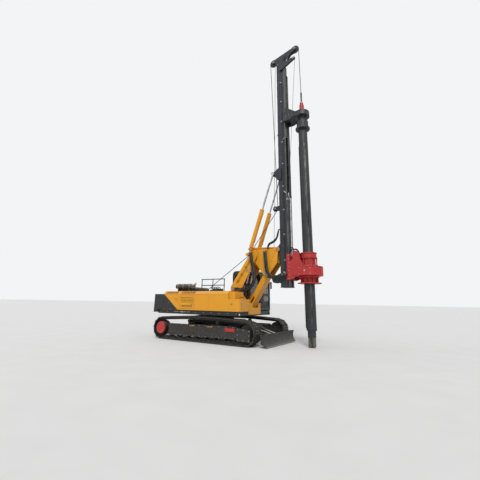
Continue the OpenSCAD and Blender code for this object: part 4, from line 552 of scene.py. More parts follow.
coat(frame_enamel, "blade")
coat(black_enamel, "blade_barrels")
coat(chrome, "blade_rods")
bm = bmesh.new()
bolts_on(bm, "blade", [at(3300, y, 78) for y in range(-1120, 1121, 160)], (-1, 0, 0), 27)
bolts_on(bm, "blade", [at(2560, s * 330 + d, 900) for s in (-1, 1) for d in (-28, 28)], (0, 0, -1), 20)
finish("blade_bolts", bm, steel, "blade")
bm = bmesh.new()
# The edge's worn lip follows the mouldboard's foot, just proud of it
lip, lip_proud, lip_half = [], 0.0012, 1.225
for z in (27, 34, 44):
    spot, _ = cast("blade", at(3300, 0, z), (-1, 0, 0))
    lip.append((spot.x + lip_proud, z / 1000))
for (x0, z0), (x1, z1) in zip(lip, lip[1:]):
    corners = [bm.verts.new((x, y, z)) for x, z in ((x0, z0), (x1, z1)) for y in (-lip_half, lip_half)]
    bm.faces.new((corners[0], corners[1], corners[3], corners[2]))
bmesh.ops.remove_doubles(bm, verts=bm.verts, dist=0.0001)
finish("blade_lip", bm, steel, "blade")
bm = bmesh.new()
for s in (-1, 1):
    cylinder_trim(bm, at(1050, s * 180, 735), at(2560, s * 180, 330), 1000, 46,
        Vector((0.26, 0, 0.966)))
finish("blade_cylinder_trim", bm, [black_enamel, zinc], "blade_barrels")

# Upper frame: a welded deck in black, with folded 3 mm housings in yellow enamel bolted round it.
# The counterweight is one casting, and the engine stands ahead of it under a hinged cover.
yellow_enamel = enamel("yellow_enamel", "#DA9208", "#D99817", "#7A6A4C", roughness=0.3, dust=0.3,
    wear=0.4)
coat(yellow_enamel, "right_housing", "left_housing", "front_tank", "right_door", "left_door",
    "boom_foot")
coat(black_enamel, "platform", "side_panels", "hood", "handrails", "valve_bank", "main_winch")
casting_top = 1.672  # the counterweight is black up to here and yellow above
coat([black_enamel, yellow_enamel], "counterweight", pick=lambda face: int(face.center.z > casting_top))

# A bare strip under the panels, orange-brown and scaly, with darker runs
rust = patchy("rusted_steel_strip", 45, 9.0, ((0.35, "#54301B"), (0.68, "#8A5732")), 0.85,
    grain=(45, 9.0, 0.5, 0.002))
# Spelter grey, dulled by dust from the fan
mesh_wire = patchy("galvanised_mesh_wire", 60, 6.0, ((0.35, "#5B5D5E"), (0.7, "#7F7F7B")), 0.55, 0.8)
# Sand-cast skin under grey engine paint: a coarse grain, darkened by oil
cast_iron = patchy("painted_cast_iron", 210, 7.0, ((0.4, "#6A6F70"), (0.66, "#35342F")), 0.55,
    grain=(7, 5.0, 0.5, 0.002))
# Dip-coated exhaust sheet, its silver gone dull grey and brown with heat and soot
alu_steel = patchy("aluminised_steel", 260, 7.0, ((0.38, "#5A5A58"), (0.68, "#3C342D")),
    (0.38, 0.62), 0.95)
# Moulded handles, tanks and covers: a fine spark grain, drawn at 3 mm to show, and a dusty bloom
moulded_nylon = patchy("moulded_black_plastic", 90, 6.0, ((0.35, "#191A1B"), (0.75, "#34332F")), 0.55,
    grain=(3, 3.0, 0.35, 0.0006))
cream_enamel = enamel("cream_enamel", "#CFC9B4", "#C4BDA6", "#8B8577", dust=0.4, wear=0.3)
coat(cast_iron, "engine_block")
tail_x = at(-958, 0, 0).x  # the silencer is dull sheet up to here and its outlet bright ahead
coat([alu_steel, chrome], "silencer", pick=lambda face: int(face.center.x > tail_x))


def pipe(bm, points, radius, sides=8, material=0, step=30):
    """A pipe, cable or short hose on a smooth run through these places, all in mm."""
    tube(bm, smooth_route([at(*p) for p in points], step / 1000), radius / 1000, sides, material)


# Deck edge: bolts that hold the housings, rust strips, and the grease and drain fittings
beyond = 1700  # farther out than any side, where the lines to the bolts' seats start
bm = bmesh.new()
for s in (-1, 1):
    bolts_on(bm, "platform", [at(x, s * beyond, 1040) for x in range(-2050, 1651, 370)], (0, -s, 0), 22)
    bolts_on(bm, "side_panels", [at(x, s * beyond, z) for x, z in ((-1870, 1150), (-1870, 1640),
        (-1500, 1150), (-1170, 1150), (-1600, 1370))], (0, -s, 0), 18)
    for x in (-1770, -1460, -1170, -120, 140, 300):
        for z in (1150, 1690):
            bolts_on(bm, "right_housing" if s < 0 else "left_housing", [at(x, s * beyond, z)],
                (0, -s, 0), 15)
# Domed plugs fill the counterweight's screw holes
for y in (-1180, -900, -300, 0, 300, 900, 1180):
    for z in (1060, 1640):
        face, _ = cast("counterweight", at(-2900, y, z), (1, 0, 0))
        turned(bm, face, -forward, [(27, -1), (27, 1), (20, 5), (8, 6)], 20)
finish("upper_bolts", bm, zinc, "upper")
bm = bmesh.new()
for s in (-1, 1):
    block(bm, (-1898, s * 1252, 1099), (-1106, s * 1298, 1113), 2)
finish("rust_strips", bm, rust, "upper")
bm = bmesh.new()
pipe(bm, ((-1240, -1262, 1040), (-1000, -1268, 1044), (-700, -1268, 1040), (-480, -1262, 1046)),
    9, 10, step=50)
for x in (-1210, -1130, -960, -790, -740, -520):
    turned(bm, at(x, -1251, 1042), -leftward, [(24, 0), (24, 8), (17, 9), (17, 24), (13, 28)], 6)
block(bm, (-900, -1285, 1010), (-830, -1250, 1074), 4)
for x in (-882, -848):
    turned(bm, at(x, -1284, 1042), -leftward, [(11, 0), (11, 14), (6, 16)], 6)
finish("deck_fittings", bm, zinc, "upper")
bm = bmesh.new()
for s in (-1, 1):
    for x in (-2270, -2060):
        arch = [at(x, s * 700 + 90 * math.cos(a), 1712 + 105 * math.sin(a)) for a in
            (math.pi * k / 12 for k in range(13))]
        tube(bm, arch, 0.017, 12)
finish("counterweight_eyes", bm, black_enamel, "upper")

# Grilles: wire lattice under the slope vents, and upright wires behind the slots of the cover
bm = bmesh.new()
for s in (-1, 1):
    down = Vector((0, s * 0.655, -0.755))
    for x0, x1 in ((-1800, -1130), (-960, -240)):
        top = at(x0, s * 1202, 1815)
        for k in range(int((x1 - x0) / 22) + 1):
            a = top + Vector((k * 0.022, 0, 0))
            bar(bm, a, a + down * 0.11, 1.6, 5)
        for k in range(6):
            a = top + down * (0.011 + 0.018 * k)
            bar(bm, a, a + Vector(((x1 - x0) / 1000, 0, 0)), 1.6, 5)
for s in (-1, 1):
    for k in range(36):
        a = at(-1865 + 25 * k, s * 484, 1862)
        bar(bm, a, a + Vector((0, 0, 0.116)), 1.8, 5)
finish("vent_mesh", bm, mesh_wire, "upper")

# Door handles and hinges, one set to a door
for side_name, s in (("right", -1), ("left", 1)):
    bm = bmesh.new()
    block(bm, (-422, s * 1290, 1316), (-328, s * 1297, 1356), 3, 1)
    block(bm, (-412, s * 1291, 1330), (-350, s * 1299.5, 1344), 2, 0)
    turned(bm, at(-342, s * 1296, 1336), Vector((0, s, 0)), [(9, 0), (9, 3), (6, 4)], 16, 0)
    bolts_on(bm, f"{side_name}_door", [at(-945, s * beyond, z) for z in (1235, 1275, 1575, 1615)],
        (0, -s, 0), 12)
    finish(f"{side_name}_door_fittings", bm, [zinc, moulded_nylon], f"{side_name}_door")

# Service bays: batteries and filters on the right, a finned oil cooler on the left
bm = bmesh.new()
for x in (-900, -640):
    block(bm, (x, -1230, 1186), (x + 230, -1060, 1400), 8, 0)
    block(bm, (x + 6, -1224, 1399), (x + 224, -1066, 1414), 5, 2)
    for dx in (30, 200):
        turned(bm, at(x + dx, -1200, 1412), up, [(10, 0), (9, 16), (7, 18)], 12, 1)
block(bm, (-912, -1240, 1186), (-398, -1050, 1198), 3, 1)
pipe(bm, ((-870, -1200, 1425), (-860, -1190, 1470), (-760, -1150, 1500), (-640, -1180, 1475),
    (-610, -1200, 1425)), 8, 8, 3)
pipe(bm, ((-700, -1200, 1425), (-690, -1160, 1490), (-620, -1030, 1560), (-560, -940, 1640)), 8, 8, 3)
for x in (-830, -640, -450):
    turned(bm, at(x, -960, 1620), -up, [(46, 0), (52, 8), (52, 30), (44, 34), (44, 165), (40, 172),
        (18, 172)], 28, 4)
    turned(bm, at(x, -960, 1650), -up, [(58, 0), (58, 30)], 6, 1)
block(bm, (-905, -985, 1645), (-385, -935, 1668), 4, 1)
finish("right_bay_contents", bm, [moulded_nylon, zinc, cream_enamel, rubber, cream_enamel], "upper")
bm = bmesh.new()
block(bm, (-930, 930, 1190), (-330, 1010, 1250), 6, 0)
block(bm, (-930, 930, 1600), (-330, 1010, 1660), 6, 0)
for k in range(29):
    x = -920 + 20.5 * k
    block(bm, (x, 940, 1249), (x + 6, 1000, 1601), 1, 0)
for x in (-880, -380):
    turned(bm, at(x, 1008, 1630), leftward, [(24, 0), (24, 22), (18, 24)], 6, 1)
pipe(bm, ((-380, 1030, 1630), (-380, 1090, 1620), (-400, 1130, 1500), (-420, 1130, 1300),
    (-440, 1090, 1210)), 19, 12, 2)
finish("left_bay_cooler", bm, [alu_steel, zinc, rubber], "upper")

# Tank: a fuel cap with its hasp, a sight glass in front and a cover plate on bolts
bm = bmesh.new()
turned(bm, at(1660, -900, 1588), up, [(50, 0), (56, 3), (56, 24), (50, 30), (22, 33)], 12, 1)
block(bm, (1600, -912, 1590), (1720, -888, 1604), 3, 0)
bolts_on(bm, "front_tank", [at(2200, y, z) for y in (-1250, -1080, -780, -610) for z in (1180, 1500)],
    (-1, 0, 0), 16)
bolts_on(bm, "front_tank", [at(x, -beyond, z) for x in (1360, 1750) for z in (1170, 1500)],
    (0, 1, 0), 16)
block(bm, (1796, -1180, 1230), (1806, -1140, 1450), 3, 2)
block(bm, (1800, -1172, 1240), (1809, -1148, 1440), 3, 1)
# A black moulded latch on the side plate, as the photograph shows
block(bm, (1470, -1306, 1330), (1500, -1298, 1410), 3, 1)
block(bm, (1476, -1311, 1350), (1494, -1304, 1390), 2, 0)
finish("tank_fittings", bm, [zinc, moulded_nylon, cream_enamel], "upper")

# Engine: rocker covers, injector pipes, exhaust manifold, turbocharger, air filter and its hose
bm = bmesh.new()
for k in range(6):
    x = -1730 + 112 * k
    block(bm, (x, -130, 1758), (x + 96, 60, 1800), 10, 0)
    turned(bm, at(x + 48, -35, 1798), up, [(10, 0), (10, 14), (8, 16)], 6, 1)
    pipe(bm, ((x + 48, 62, 1780), (x + 48, 130, 1790), (x + 60, 210, 1772), (x + 48, 262, 1762)),
        6, 6, 1)
    pipe(bm, ((x + 48, -128, 1776), (x + 48, -190, 1776), (x + 48, -236, 1788)), 26, 12, 3)
bar(bm, at(-1740, -245, 1786), at(-1060, -245, 1786), 36, 20, 3)
turned(bm, at(-1210, -330, 1790), leftward, [(20, 0), (62, 12), (72, 26), (58, 50), (40, 56), (40, 84),
    (66, 90), (72, 108), (58, 124), (26, 130)], 32, 3)
bar(bm, at(-1740, 300, 1770), at(-1080, 300, 1770), 30, 16, 0)
turned(bm, at(-1600, 130, 1806), forward, [(60, 0), (74, 10), (74, 300), (60, 312), (36, 318),
    (36, 370)], 32, 2)
pipe(bm, ((-1230, 130, 1806), (-1140, 110, 1806), (-1110, -60, 1800), (-1150, -250, 1790),
    (-1200, -300, 1790)), 34, 14, 4, step=40)
finish("engine_dressing", bm, [cast_iron, zinc, moulded_nylon, rust, rubber], "upper")
# The cover: two latches a side, a rain cap on the intake and a folded seam along the top
bm = bmesh.new()
for s in (-1, 1):
    for x in (-1780, -1080):
        block(bm, (x, s * 498, 1838), (x + 26, s * 506, 1876), 2, 1)
turned(bm, at(-1360, -190, 2112), up, [(62, 0), (62, 6), (118, 10), (122, 18), (96, 42), (30, 52)],
    36, 0)
bolts_on(bm, "hood", [at(x, s * 440, 2300) for x in (-1840, -1600, -1200, -1000) for s in (-1, 1)],
    (0, 0, -1), 16, 1)
finish("engine_cover_fittings", bm, [moulded_nylon, zinc], "hood")

# Silencer: band clamps with bolted lugs, a rolled rim at each end and a flanged bright outlet
bm = bmesh.new()
for x in (-1700, -1400, -1060):
    turned(bm, at(x, -660, 2050), forward, [(95, 0), (99, 1), (99, 27), (95, 28)], 48, 0)
    block(bm, (x + 4, -690, 2138), (x + 24, -630, 2156), 3, 0)
    turned(bm, at(x + 14, -700, 2148), leftward, [(7, 0), (7, 82), (4, 84)], 6, 0)
for x in (-1802, -955):
    turned(bm, at(x, -660, 2050), forward, [(92, 0), (98, 2), (98, 8), (92, 10)], 48, 0)
outlet = Vector((0.94, 0, 0.34)).normalized()
turned(bm, at(-955, -660, 2080) + outlet * 0.04, outlet, [(42, 0), (49, 3), (49, 16), (43, 20)], 36, 1)
turned(bm, at(-955, -660, 2080) + outlet * 0.2, outlet, [(42.5, 0), (45, 4), (45, 30), (40, 31)], 36, 1)
finish("silencer_trim", bm, [zinc, chrome], "upper")

# Handrail: post flanges on the roof, weld collars where the bars meet
posts = (-480, 80, 640)
bm = bmesh.new()
for x in posts:
    turned(bm, at(x, -600, 1829), up, [(46, 0), (46, 8), (24, 9), (19, 22)], 24)
    for z in (2080, 2320):
        turned(bm, at(x - 24, -600, z), forward, [(17, 0), (19.5, 5), (19.5, 43), (17, 48)], 20)
finish("handrail_joints", bm, black_enamel, "upper")

# Control valves: a sectioned body, a lever and two hose unions to a section. The handrail's foot
# bolts are plated like them and go in the same piece.
bm = bmesh.new()
bolts_on(bm, "handrails", [at(x, y, 1900) for x in posts for y in (-634, -566)], (0, 0, -1), 12)
for k in range(6):
    x = -110 + 88 * k
    turned(bm, at(x, -400, 1938), up, [(17, 0), (17, 24), (12, 28)], 6)
    for y in (-460, -340):
        turned(bm, at(x, y, 1898), up, [(15, 0), (15, 18), (11, 22), (11, 34)], 6)
    bar(bm, at(x, -312, 1860), at(x, -270, 1950), 6, 10)
    turned(bm, at(x, -270, 1950), Vector((0, 0.42, 0.9)), [(7, 0), (12, 6), (13, 20), (6, 28)], 14, 1)
    if k < 5:
        pipe(bm, ((x, -460, 1925), (x + 8, -463, 1990), (x + 60, -470, 2010 + 8 * (k % 2)),
            (x + 105, -465, 1985), (x + 88, -460, 1925)), 13, 10, 1)
finish("valve_trim", bm, [zinc, rubber], "upper")


# Cab: a pressed and welded steel shell in black enamel, glazed with tinted toughened glass in
# rubber gaskets. The seat is foam in woven polyester on a bellows base, between two consoles.

# A dark green-grey tint that lets the cab show faintly, under a dusty film that dulls the shine
glass, tree, place = new_material("tinted_toughened_glass")
film = add(tree, "TexNoise", {"Vector": place, "Scale": 1000 / 300, "Detail": 7.0})
gloss = add(tree, "MapRange", {"Value": film, "From Min": 0.35, "From Max": 0.75, "To Min": 0.03,
    "To Max": 0.14})
tone = add(tree, "ValToRGB", {"Fac": film}, stops=((0.35, "#26302F"), (0.75, "#3B4442")))
surface = add(tree, "BsdfPrincipled", {"Base Color": tone, "Roughness": gloss, "IOR": 1.52,
    "Alpha": 0.42})
add(tree, "OutputMaterial", {"Surface": surface})

# Clear polycarbonate with ribs moulded inside, 8 mm apart, over a silvered bowl
lens, tree, place = new_material("moulded_lamp_lens")
ribs = add(tree, "TexWave", {"Vector": place, "Scale": 1000 / 8 / (2 * math.pi)}, bands_direction="Y")
relief = add(tree, "Bump", {"Height": ribs, "Strength": 0.6, "Distance": 0.002})
tone = add(tree, "ValToRGB", {"Fac": ribs}, stops=((0.2, "#C8CDD0"), (0.8, "#EEF1F2")))
surface = add(tree, "BsdfPrincipled", {"Base Color": tone, "Metallic": 0.35, "Roughness": 0.12,
    "Normal": relief})
add(tree, "OutputMaterial", {"Surface": surface})

# Charcoal plain weave with a grey fleck. The 1 mm yarn is drawn at 5 mm to show
seat_cloth, tree, place = new_material("woven_polyester")
warp = add(tree, "TexWave", {"Vector": place, "Scale": 1000 / 5 / (2 * math.pi), "Distortion": 0.6},
    bands_direction="Y")
weft = add(tree, "TexWave", {"Vector": place, "Scale": 1000 / 5 / (2 * math.pi), "Distortion": 0.6},
    bands_direction="DIAGONAL")
yarn = add(tree, "Math", {0: warp, 1: weft}, operation="MULTIPLY")
fleck = add(tree, "TexNoise", {"Vector": place, "Scale": 1000 / 9, "Detail": 4.0})
tone = add(tree, "ValToRGB", {"Fac": fleck}, stops=((0.4, "#26282B"), (0.66, "#4B4E52")))
tone = add(tree, "Mix", {0: yarn, 6: tone, 7: "#3A3D41"}, data_type="RGBA")
relief = add(tree, "Bump", {"Height": yarn, "Strength": 0.5, "Distance": 0.0015})
surface = add(tree, "BsdfPrincipled", {"Base Color": tone, "Roughness": 0.92, "Sheen Weight": 0.25,
    "Normal": relief})
add(tree, "OutputMaterial", {"Surface": surface})

# A screen that is off: near black, glossy, with finger smears
dark_glass, tree, place = new_material("blank_screen_glass")
smear = add(tree, "TexNoise", {"Vector": place, "Scale": 1000 / 40, "Detail": 6.0})
gloss = add(tree, "MapRange", {"Value": smear, "To Min": 0.06, "To Max": 0.3})
surface = add(tree, "BsdfPrincipled", {"Base Color": "#0E1113", "Roughness": gloss})
add(tree, "OutputMaterial", {"Surface": surface})

# Lenses face forward and mirrors backward. The door's pane is what faces sideways in its frame.
square_on, mirror_top = 0.9, 2.3
lens_x, mirror_x = at(1736, 0, 0).x, at(1750, 0, 0).x
pane_back, pane_front, pane_low, pane_high = at(690, 0, 0).x, at(1270, 0, 0).x, 1.58, 2.48
coat([black_enamel, lens], "lamps",
    pick=lambda face: int(face.normal.x > square_on and face.center.x > lens_x))
coat(black_enamel, "cab_shell")
coat([moulded_nylon, chrome], "cab_fittings", pick=lambda face: int(face.normal.x < -square_on
    and face.center.x > mirror_x and face.center.z < mirror_top))
coat(glass, "cab_glass")
coat([black_enamel, glass], "cab_door", pick=lambda face: int(abs(face.normal.y) > square_on
    and pane_back < face.center.x < pane_front and pane_low < face.center.z < pane_high))


def gasket(bm, corners):
    """A rubber gasket round a window: its corners, each rounded off, joined by a round bead."""
    bead_r, corner_r = 0.009, 0.045
    loop = []
    for before, corner, after in zip(corners[-1:] + corners[:-1], corners, corners[1:] + corners[:1]):
        back = corner + (before - corner).normalized() * corner_r
        on = corner + (after - corner).normalized() * corner_r
        loop += [back, back.lerp(corner, 0.6).lerp(on, 0.18), corner.lerp((back + on) / 2, 0.5),
            on.lerp(corner, 0.6).lerp(back, 0.18), on]
    tube(bm, loop + [loop[0]], bead_r, 8)


door_y = cast("cab_door", at(660, beyond, 2000), (0, -1, 0))[0].y * 1000
bm = bmesh.new()
gasket(bm, [at(x, door_y, z) for x, z in ((698, 1593), (1262, 1593), (1262, 2472), (698, 2472))])
finish("door_gasket", bm, rubber, "cab_door")
bm = bmesh.new()
gasket(bm, [at(1700, y, z) for y, z in ((520, 1780), (1210, 1780), (1210, 2620), (520, 2620))])
gasket(bm, [at(1700, y, z) for y, z in ((520, 1260), (1210, 1260), (1210, 1700), (520, 1700))])
gasket(bm, [at(350, y, z) for y, z in ((540, 1950), (1190, 1950), (1190, 2480), (540, 2480))])
gasket(bm, [at(x, y, 2720) for x, y in ((700, 560), (1240, 560), (1240, 1170), (700, 1170))])
gasket(bm, [at(x, 440, z) for x, z in ((460, 1900), (460, 2500), (520, 2590), (1300, 2590),
    (1510, 2440), (1590, 2250), (1590, 1560), (1000, 1560), (940, 1900))])
finish("window_gaskets", bm, rubber, "upper")

# Wiper on the windscreen, its motor cover below the glass
bm = bmesh.new()
block(bm, (1698, 560, 1716), (1730, 660, 1766), 8)
turned(bm, at(1722, 610, 1742), forward, [(15, 0), (15, 14), (9, 18)], 20)
bar(bm, at(1732, 610, 1742), at(1726, 850, 2260), 6, 8)
bar(bm, at(1728, 752, 2010), at(1722, 850, 2260), 4, 8)
block(bm, (1708, 690, 2252), (1720, 1010, 2272), 4)
# Roof lamps stand on brackets, and their bodies carry cooling fins behind
roof_lamps = (580, 1070)
for y0 in roof_lamps:
    for k in range(5):
        block(bm, (1166, y0 + 8 + 17 * k, 2730), (1181, y0 + 13 + 17 * k, 2780), 1)
finish("cab_wiper_and_fins", bm, moulded_nylon, "upper")
bm = bmesh.new()
for y0 in roof_lamps:
    block(bm, (1239, y0 + 5, 2726), (1246, y0 + 85, 2784), 3)
for s in (-1, 1):
    turned(bm, at(1739, s * 1190, 1010), forward, [(36, 0), (36, 3), (26, 8), (8, 10)], 32)
finish("lamp_lenses", bm, lens, "upper")
# Shell: hinge plugs beside the door, and bolts at its posts and round its roof
bm = bmesh.new()
for z in (1390, 2010):
    turned(bm, at(1375, 1292, z), leftward, [(24, 0), (24, 5), (16, 8)], 20)
for z in (1300, 1800, 2380):
    for d in (-16, 16):
        bolts_on(bm, "cab_shell", [at(560, beyond, z + d), at(1660, beyond, z + d)], (0, -1, 0), 12)
bolts_on(bm, "cab_shell", [at(x, y, 3000) for x in (400, 1300, 1650) for y in (500, 1230)],
    (0, 0, -1), 16)
finish("cab_bolts", bm, zinc, "upper")
# Door: a moulded handle with its lock outside, and a grab bar under the glass inside
bm = bmesh.new()
block(bm, (1276, door_y - 1, 1690), (1318, door_y + 4, 1850), 3, 1)
block(bm, (1284, door_y + 3, 1720), (1308, door_y + 20, 1800), 5, 1)
turned(bm, at(1296, door_y + 3, 1826), leftward, [(9, 0), (9, 3), (5, 4)], 16, 0)
inner_y = cast("cab_door", at(660, 0, 1400), (0, 1, 0))[0].y * 1000
block(bm, (720, inner_y - 26, 1540), (1180, inner_y + 2, 1562), 5, 1)
finish("cab_door_fittings", bm, [zinc, moulded_nylon], "cab_door")

# Inside: a ribbed mat, two consoles with levers, a blank screen, travel levers and a heater duct
bm = bmesh.new()
block(bm, (400, 486, 1155), (1650, 1246, 1160), 1, 1)
for k in range(24):
    block(bm, (1130, 500 + 30 * k, 1159), (1640, 514 + 30 * k, 1164), 1, 1)
for y0, y1 in ((500, 600), (1128, 1238)):
    middle = (y0 + y1) / 2
    block(bm, (690, y0, 1158), (1060, y1, 1640), 18, 0)
    block(bm, (680, y0 - 4, 1638), (1110, y1 + 4, 1672), 10, 0)
    turned(bm, at(1050, middle, 1670), up, [(38, 0), (36, 8), (24, 22), (13, 46), (9, 60)], 24, 1)
    bar(bm, at(1050, middle, 1725), at(1062, middle, 1800), 7, 12, 2)
    turned(bm, at(1060, middle, 1780), Vector((0.12, 0, 1)), [(15, 0), (21, 14), (19, 60), (23, 88),
        (14, 104)], 24, 0)
    for k in range(5):
        turned(bm, at(760 + 44 * k, middle - 14, 1671), up, [(11, 0), (11, 6), (8, 9)],
            16, 2 if k % 2 else 0)
    block(bm, (700, y0 + 12, 1671), (940, y0 + 26, 1674), 1, 2)
    block(bm, (650, middle - 42, 1720), (900, middle + 42, 1752), 12, 1)
    bar(bm, at(690, middle, 1672), at(690, middle, 1724), 16, 12, 0)
for y in (800, 930):
    bar(bm, at(1440, y, 1158), at(1480, y, 1560), 11, 12, 0)
    turned(bm, at(1478, y, 1540), Vector((0.1, 0, 1)), [(14, 0), (18, 8), (18, 100), (12, 110)], 20, 1)
    block(bm, (1400, y - 42, 1162), (1520, y + 42, 1190), 6, 0)
    block(bm, (1490, y - 40, 1215), (1590, y + 40, 1228), 5, 1)
block(bm, (1520, 500, 1780), (1552, 716, 1956), 10, 0)
block(bm, (1517, 514, 1796), (1522, 702, 1942), 3, 3)
bar(bm, at(1546, 600, 1640), at(1546, 600, 1790), 14, 12, 0)
block(bm, (1500, 486, 1158), (1650, 640, 1650), 14, 0)
for k in range(4):
    block(bm, (420, 600 + 130 * k, 1700), (470, 700 + 130 * k, 1740), 6, 0)
finish("cab_controls", bm, [moulded_nylon, rubber, zinc, dark_glass], "upper")

# Seat: bellows, slides, headrest tubes and a foam cushion and back
bm = bmesh.new()
for k in range(7):
    z = 1205 + 30 * k
    block(bm, (726, 700, z), (1054, 1030, z + 26), 10, 1)
block(bm, (705, 670, 1156), (1075, 1060, 1206), 6, 0)
block(bm, (712, 680, 1416), (1068, 1050, 1440), 5, 0)
for y in (700, 1020):
    block(bm, (705, y - 14, 1440), (1078, y + 14, 1470), 4, 2)
block(bm, (702, 668, 1470), (1078, 1062, 1519), 14, 0)
finish("seat_base", bm, [moulded_nylon, rubber, zinc], "upper")


def stuffed(name, bm, swell, seams):
    """Swells a closed form as foam fills its cover, then draws its stitched channels in."""
    voxel, frames, seam_depth, seam_width = 0.010, 20, 0.008, 0.009

    def settled(piece):
        graph = bpy.context.evaluated_depsgraph_get()
        return bpy.data.meshes.new_from_object(piece.evaluated_get(graph))

    form = bpy.data.meshes.new(name)
    bm.to_mesh(form)
    bm.free()
    piece = bpy.data.objects.new(name, form)
    bpy.context.collection.objects.link(piece)
    skin = piece.modifiers.new("skin", "REMESH")
    skin.mode, skin.voxel_size = "VOXEL", voxel
    mesh = settled(piece)
    piece.modifiers.clear()
    piece.data = mesh
    start = [v.co.copy() for v in mesh.vertices]
    foam = piece.modifiers.new("foam", "CLOTH")
    foam.settings.use_pressure = True
    foam.settings.uniform_pressure_force = 4
    foam.settings.effector_weights.gravity = 0
    foam.point_cache.frame_start, foam.point_cache.frame_end = 1, frames
    for number in range(1, frames + 1):
        bpy.context.scene.frame_set(number)
        bpy.context.view_layer.update()
    mesh = settled(piece)
    piece.modifiers.clear()
    bpy.context.scene.frame_set(1)
    for v, rest in zip(mesh.vertices, start):
        shift = v.co - rest
        v.co = rest + shift * min(1, swell / max(shift.length, 1e-9))
    piece.data = mesh
    finer = piece.modifiers.new("finer", "SUBSURF")
    finer.levels = 1
    piece.data = settled(piece)
    piece.modifiers.clear()
    outward = [v.normal.copy() for v in piece.data.vertices]
    for v, normal in zip(piece.data.vertices, outward):
        v.co -= normal * seam_depth * sum(math.exp(-(off / seam_width) ** 2) for off in seams(v.co))
    piece.data.materials.clear()
    piece.data.materials.append(seat_cloth)
    piece.data.polygons.foreach_set("use_smooth", [True] * len(piece.data.polygons))
    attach(piece, "upper")
    return piece


bm = bmesh.new()
block(bm, (674, 639, 1531), (1146, 1091, 1626), 30)
cushion = stuffed("seat_cushion", bm, 0.012, lambda p: [abs(p.y - 0.745), abs(p.y - 0.985)])
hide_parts("cab_seat")
lean = Matrix.Rotation(math.radians(-6.3), 4, "Y")
bm = bmesh.new()
block(bm, (634, 649, 1625), (716, 1081, 2150), 34, turn=lean)
stuffed("seat_back", bm, 0.010, lambda p: [abs(p.y - 0.755), abs(p.y - 0.975)])


# Linkage: a welded box boom, a lower link and a knuckle in yellow enamel, on greased steel pins
# held by bolted keepers. Two luffing cylinders lift the boom and two tall ones tilt the mast.
coat(yellow_enamel, "boom", "link", "knuckle", "mast_barrels")
coat(black_enamel, "luff_barrels")
coat(chrome, "luff_rods", "mast_rods")


def plate(bm, corners, material):
    """A small keeper or clamp plate, made as the hull of its corners."""
    for part in bmesh.ops.convex_hull(bm, input=[bm.verts.new(c) for c in corners])["geom"]:
        if isinstance(part, bmesh.types.BMFace):
            part.material_index = material


def pin_cap(bm, x, y, z, radius, s, turn):
    """The end of a pin in its boss: a chamfered face, a grease nipple and a keeper on two bolts."""
    out = Vector((0, s, 0))
    centre = at(x, y, z)
    turned(bm, centre - out * 0.004, out, [(radius, 0), (radius, 12), (radius - 4, 16),
        (radius * 0.3, 16)], 40, 1)
    turned(bm, centre + out * 0.011, out, [(8, 0), (6, 6), (4, 12), (5, 15), (2, 18)], 12, 2)
    reach = (radius + 22) / 1000
    aside = Vector((math.cos(turn), 0, math.sin(turn)))
    across = Vector((-math.sin(turn), 0, math.cos(turn)))
    middle = centre + aside * reach * 0.86 + out * 0.012
    plate(bm, [middle + aside * a + across * b + out * c for a in (-0.014, 0.014)
        for b in (-0.05, 0.05) for c in (-0.006, 0.002)], 2)
    for b in (-0.034, 0.034):
        bolt(bm, middle + across * b + out * 0.002, out, 17, 2)


def side_y(node_name, x, z, s):
    """How far out that node's face lies at x and z on side s, in mm."""
    place, _ = cast(node_name, at(x, s * 3000, z), (0, -s, 0))
    return abs(place.y) * 1000 if place else None


for body, node_name, pins in (
        ("upper", "boom_foot", ((1020, 1950, 60, 2.2), (1500, 1220, 46, 0.4), (1150, 1230, 46, 2.6))),
        ("boom", "boom", ((1820, 3230, 45, 2.4), (1521.5, 2639, 38, 0.2))),
        ("knuckle", "knuckle", ((2800, 3400, 50, 0.9), (1670, 3470, 45, -0.8), (2300, 2500, 42, -0.8))),
        ("mast", "mast", ((2700, 6480, 46, 2.6),))):
    bm = bmesh.new()
    for x, z, radius, turn in pins:
        for s in (-1, 1):
            reach = side_y(node_name, x, z, s)
            if reach:
                pin_cap(bm, x, s * reach, z, radius, s, turn)
    finish(f"{body}_pin_caps", bm, [yellow_enamel, steel, zinc], body)

for name, body, foot, eye, reach, barrel, ys, finish_of in (
        ("luff", "luff_barrels", (1150, 1230), (1521.5, 2639), 960, 65, 150, black_enamel),
        ("mast", "mast_barrels", (1670, 3470), (2700, 6480), 1650, 80, 325, yellow_enamel)):
    bm = bmesh.new()
    for s in (-1, 1):
        a, b = at(foot[0], s * ys, foot[1]), at(eye[0], s * ys, eye[1])
        rear = (b - a).normalized().cross(leftward)
        cylinder_trim(bm, a, b, reach, barrel, Vector((0, s, 0)) if name == "luff" else -rear)
    finish(f"{name}_cylinder_trim", bm, [finish_of, zinc], body)

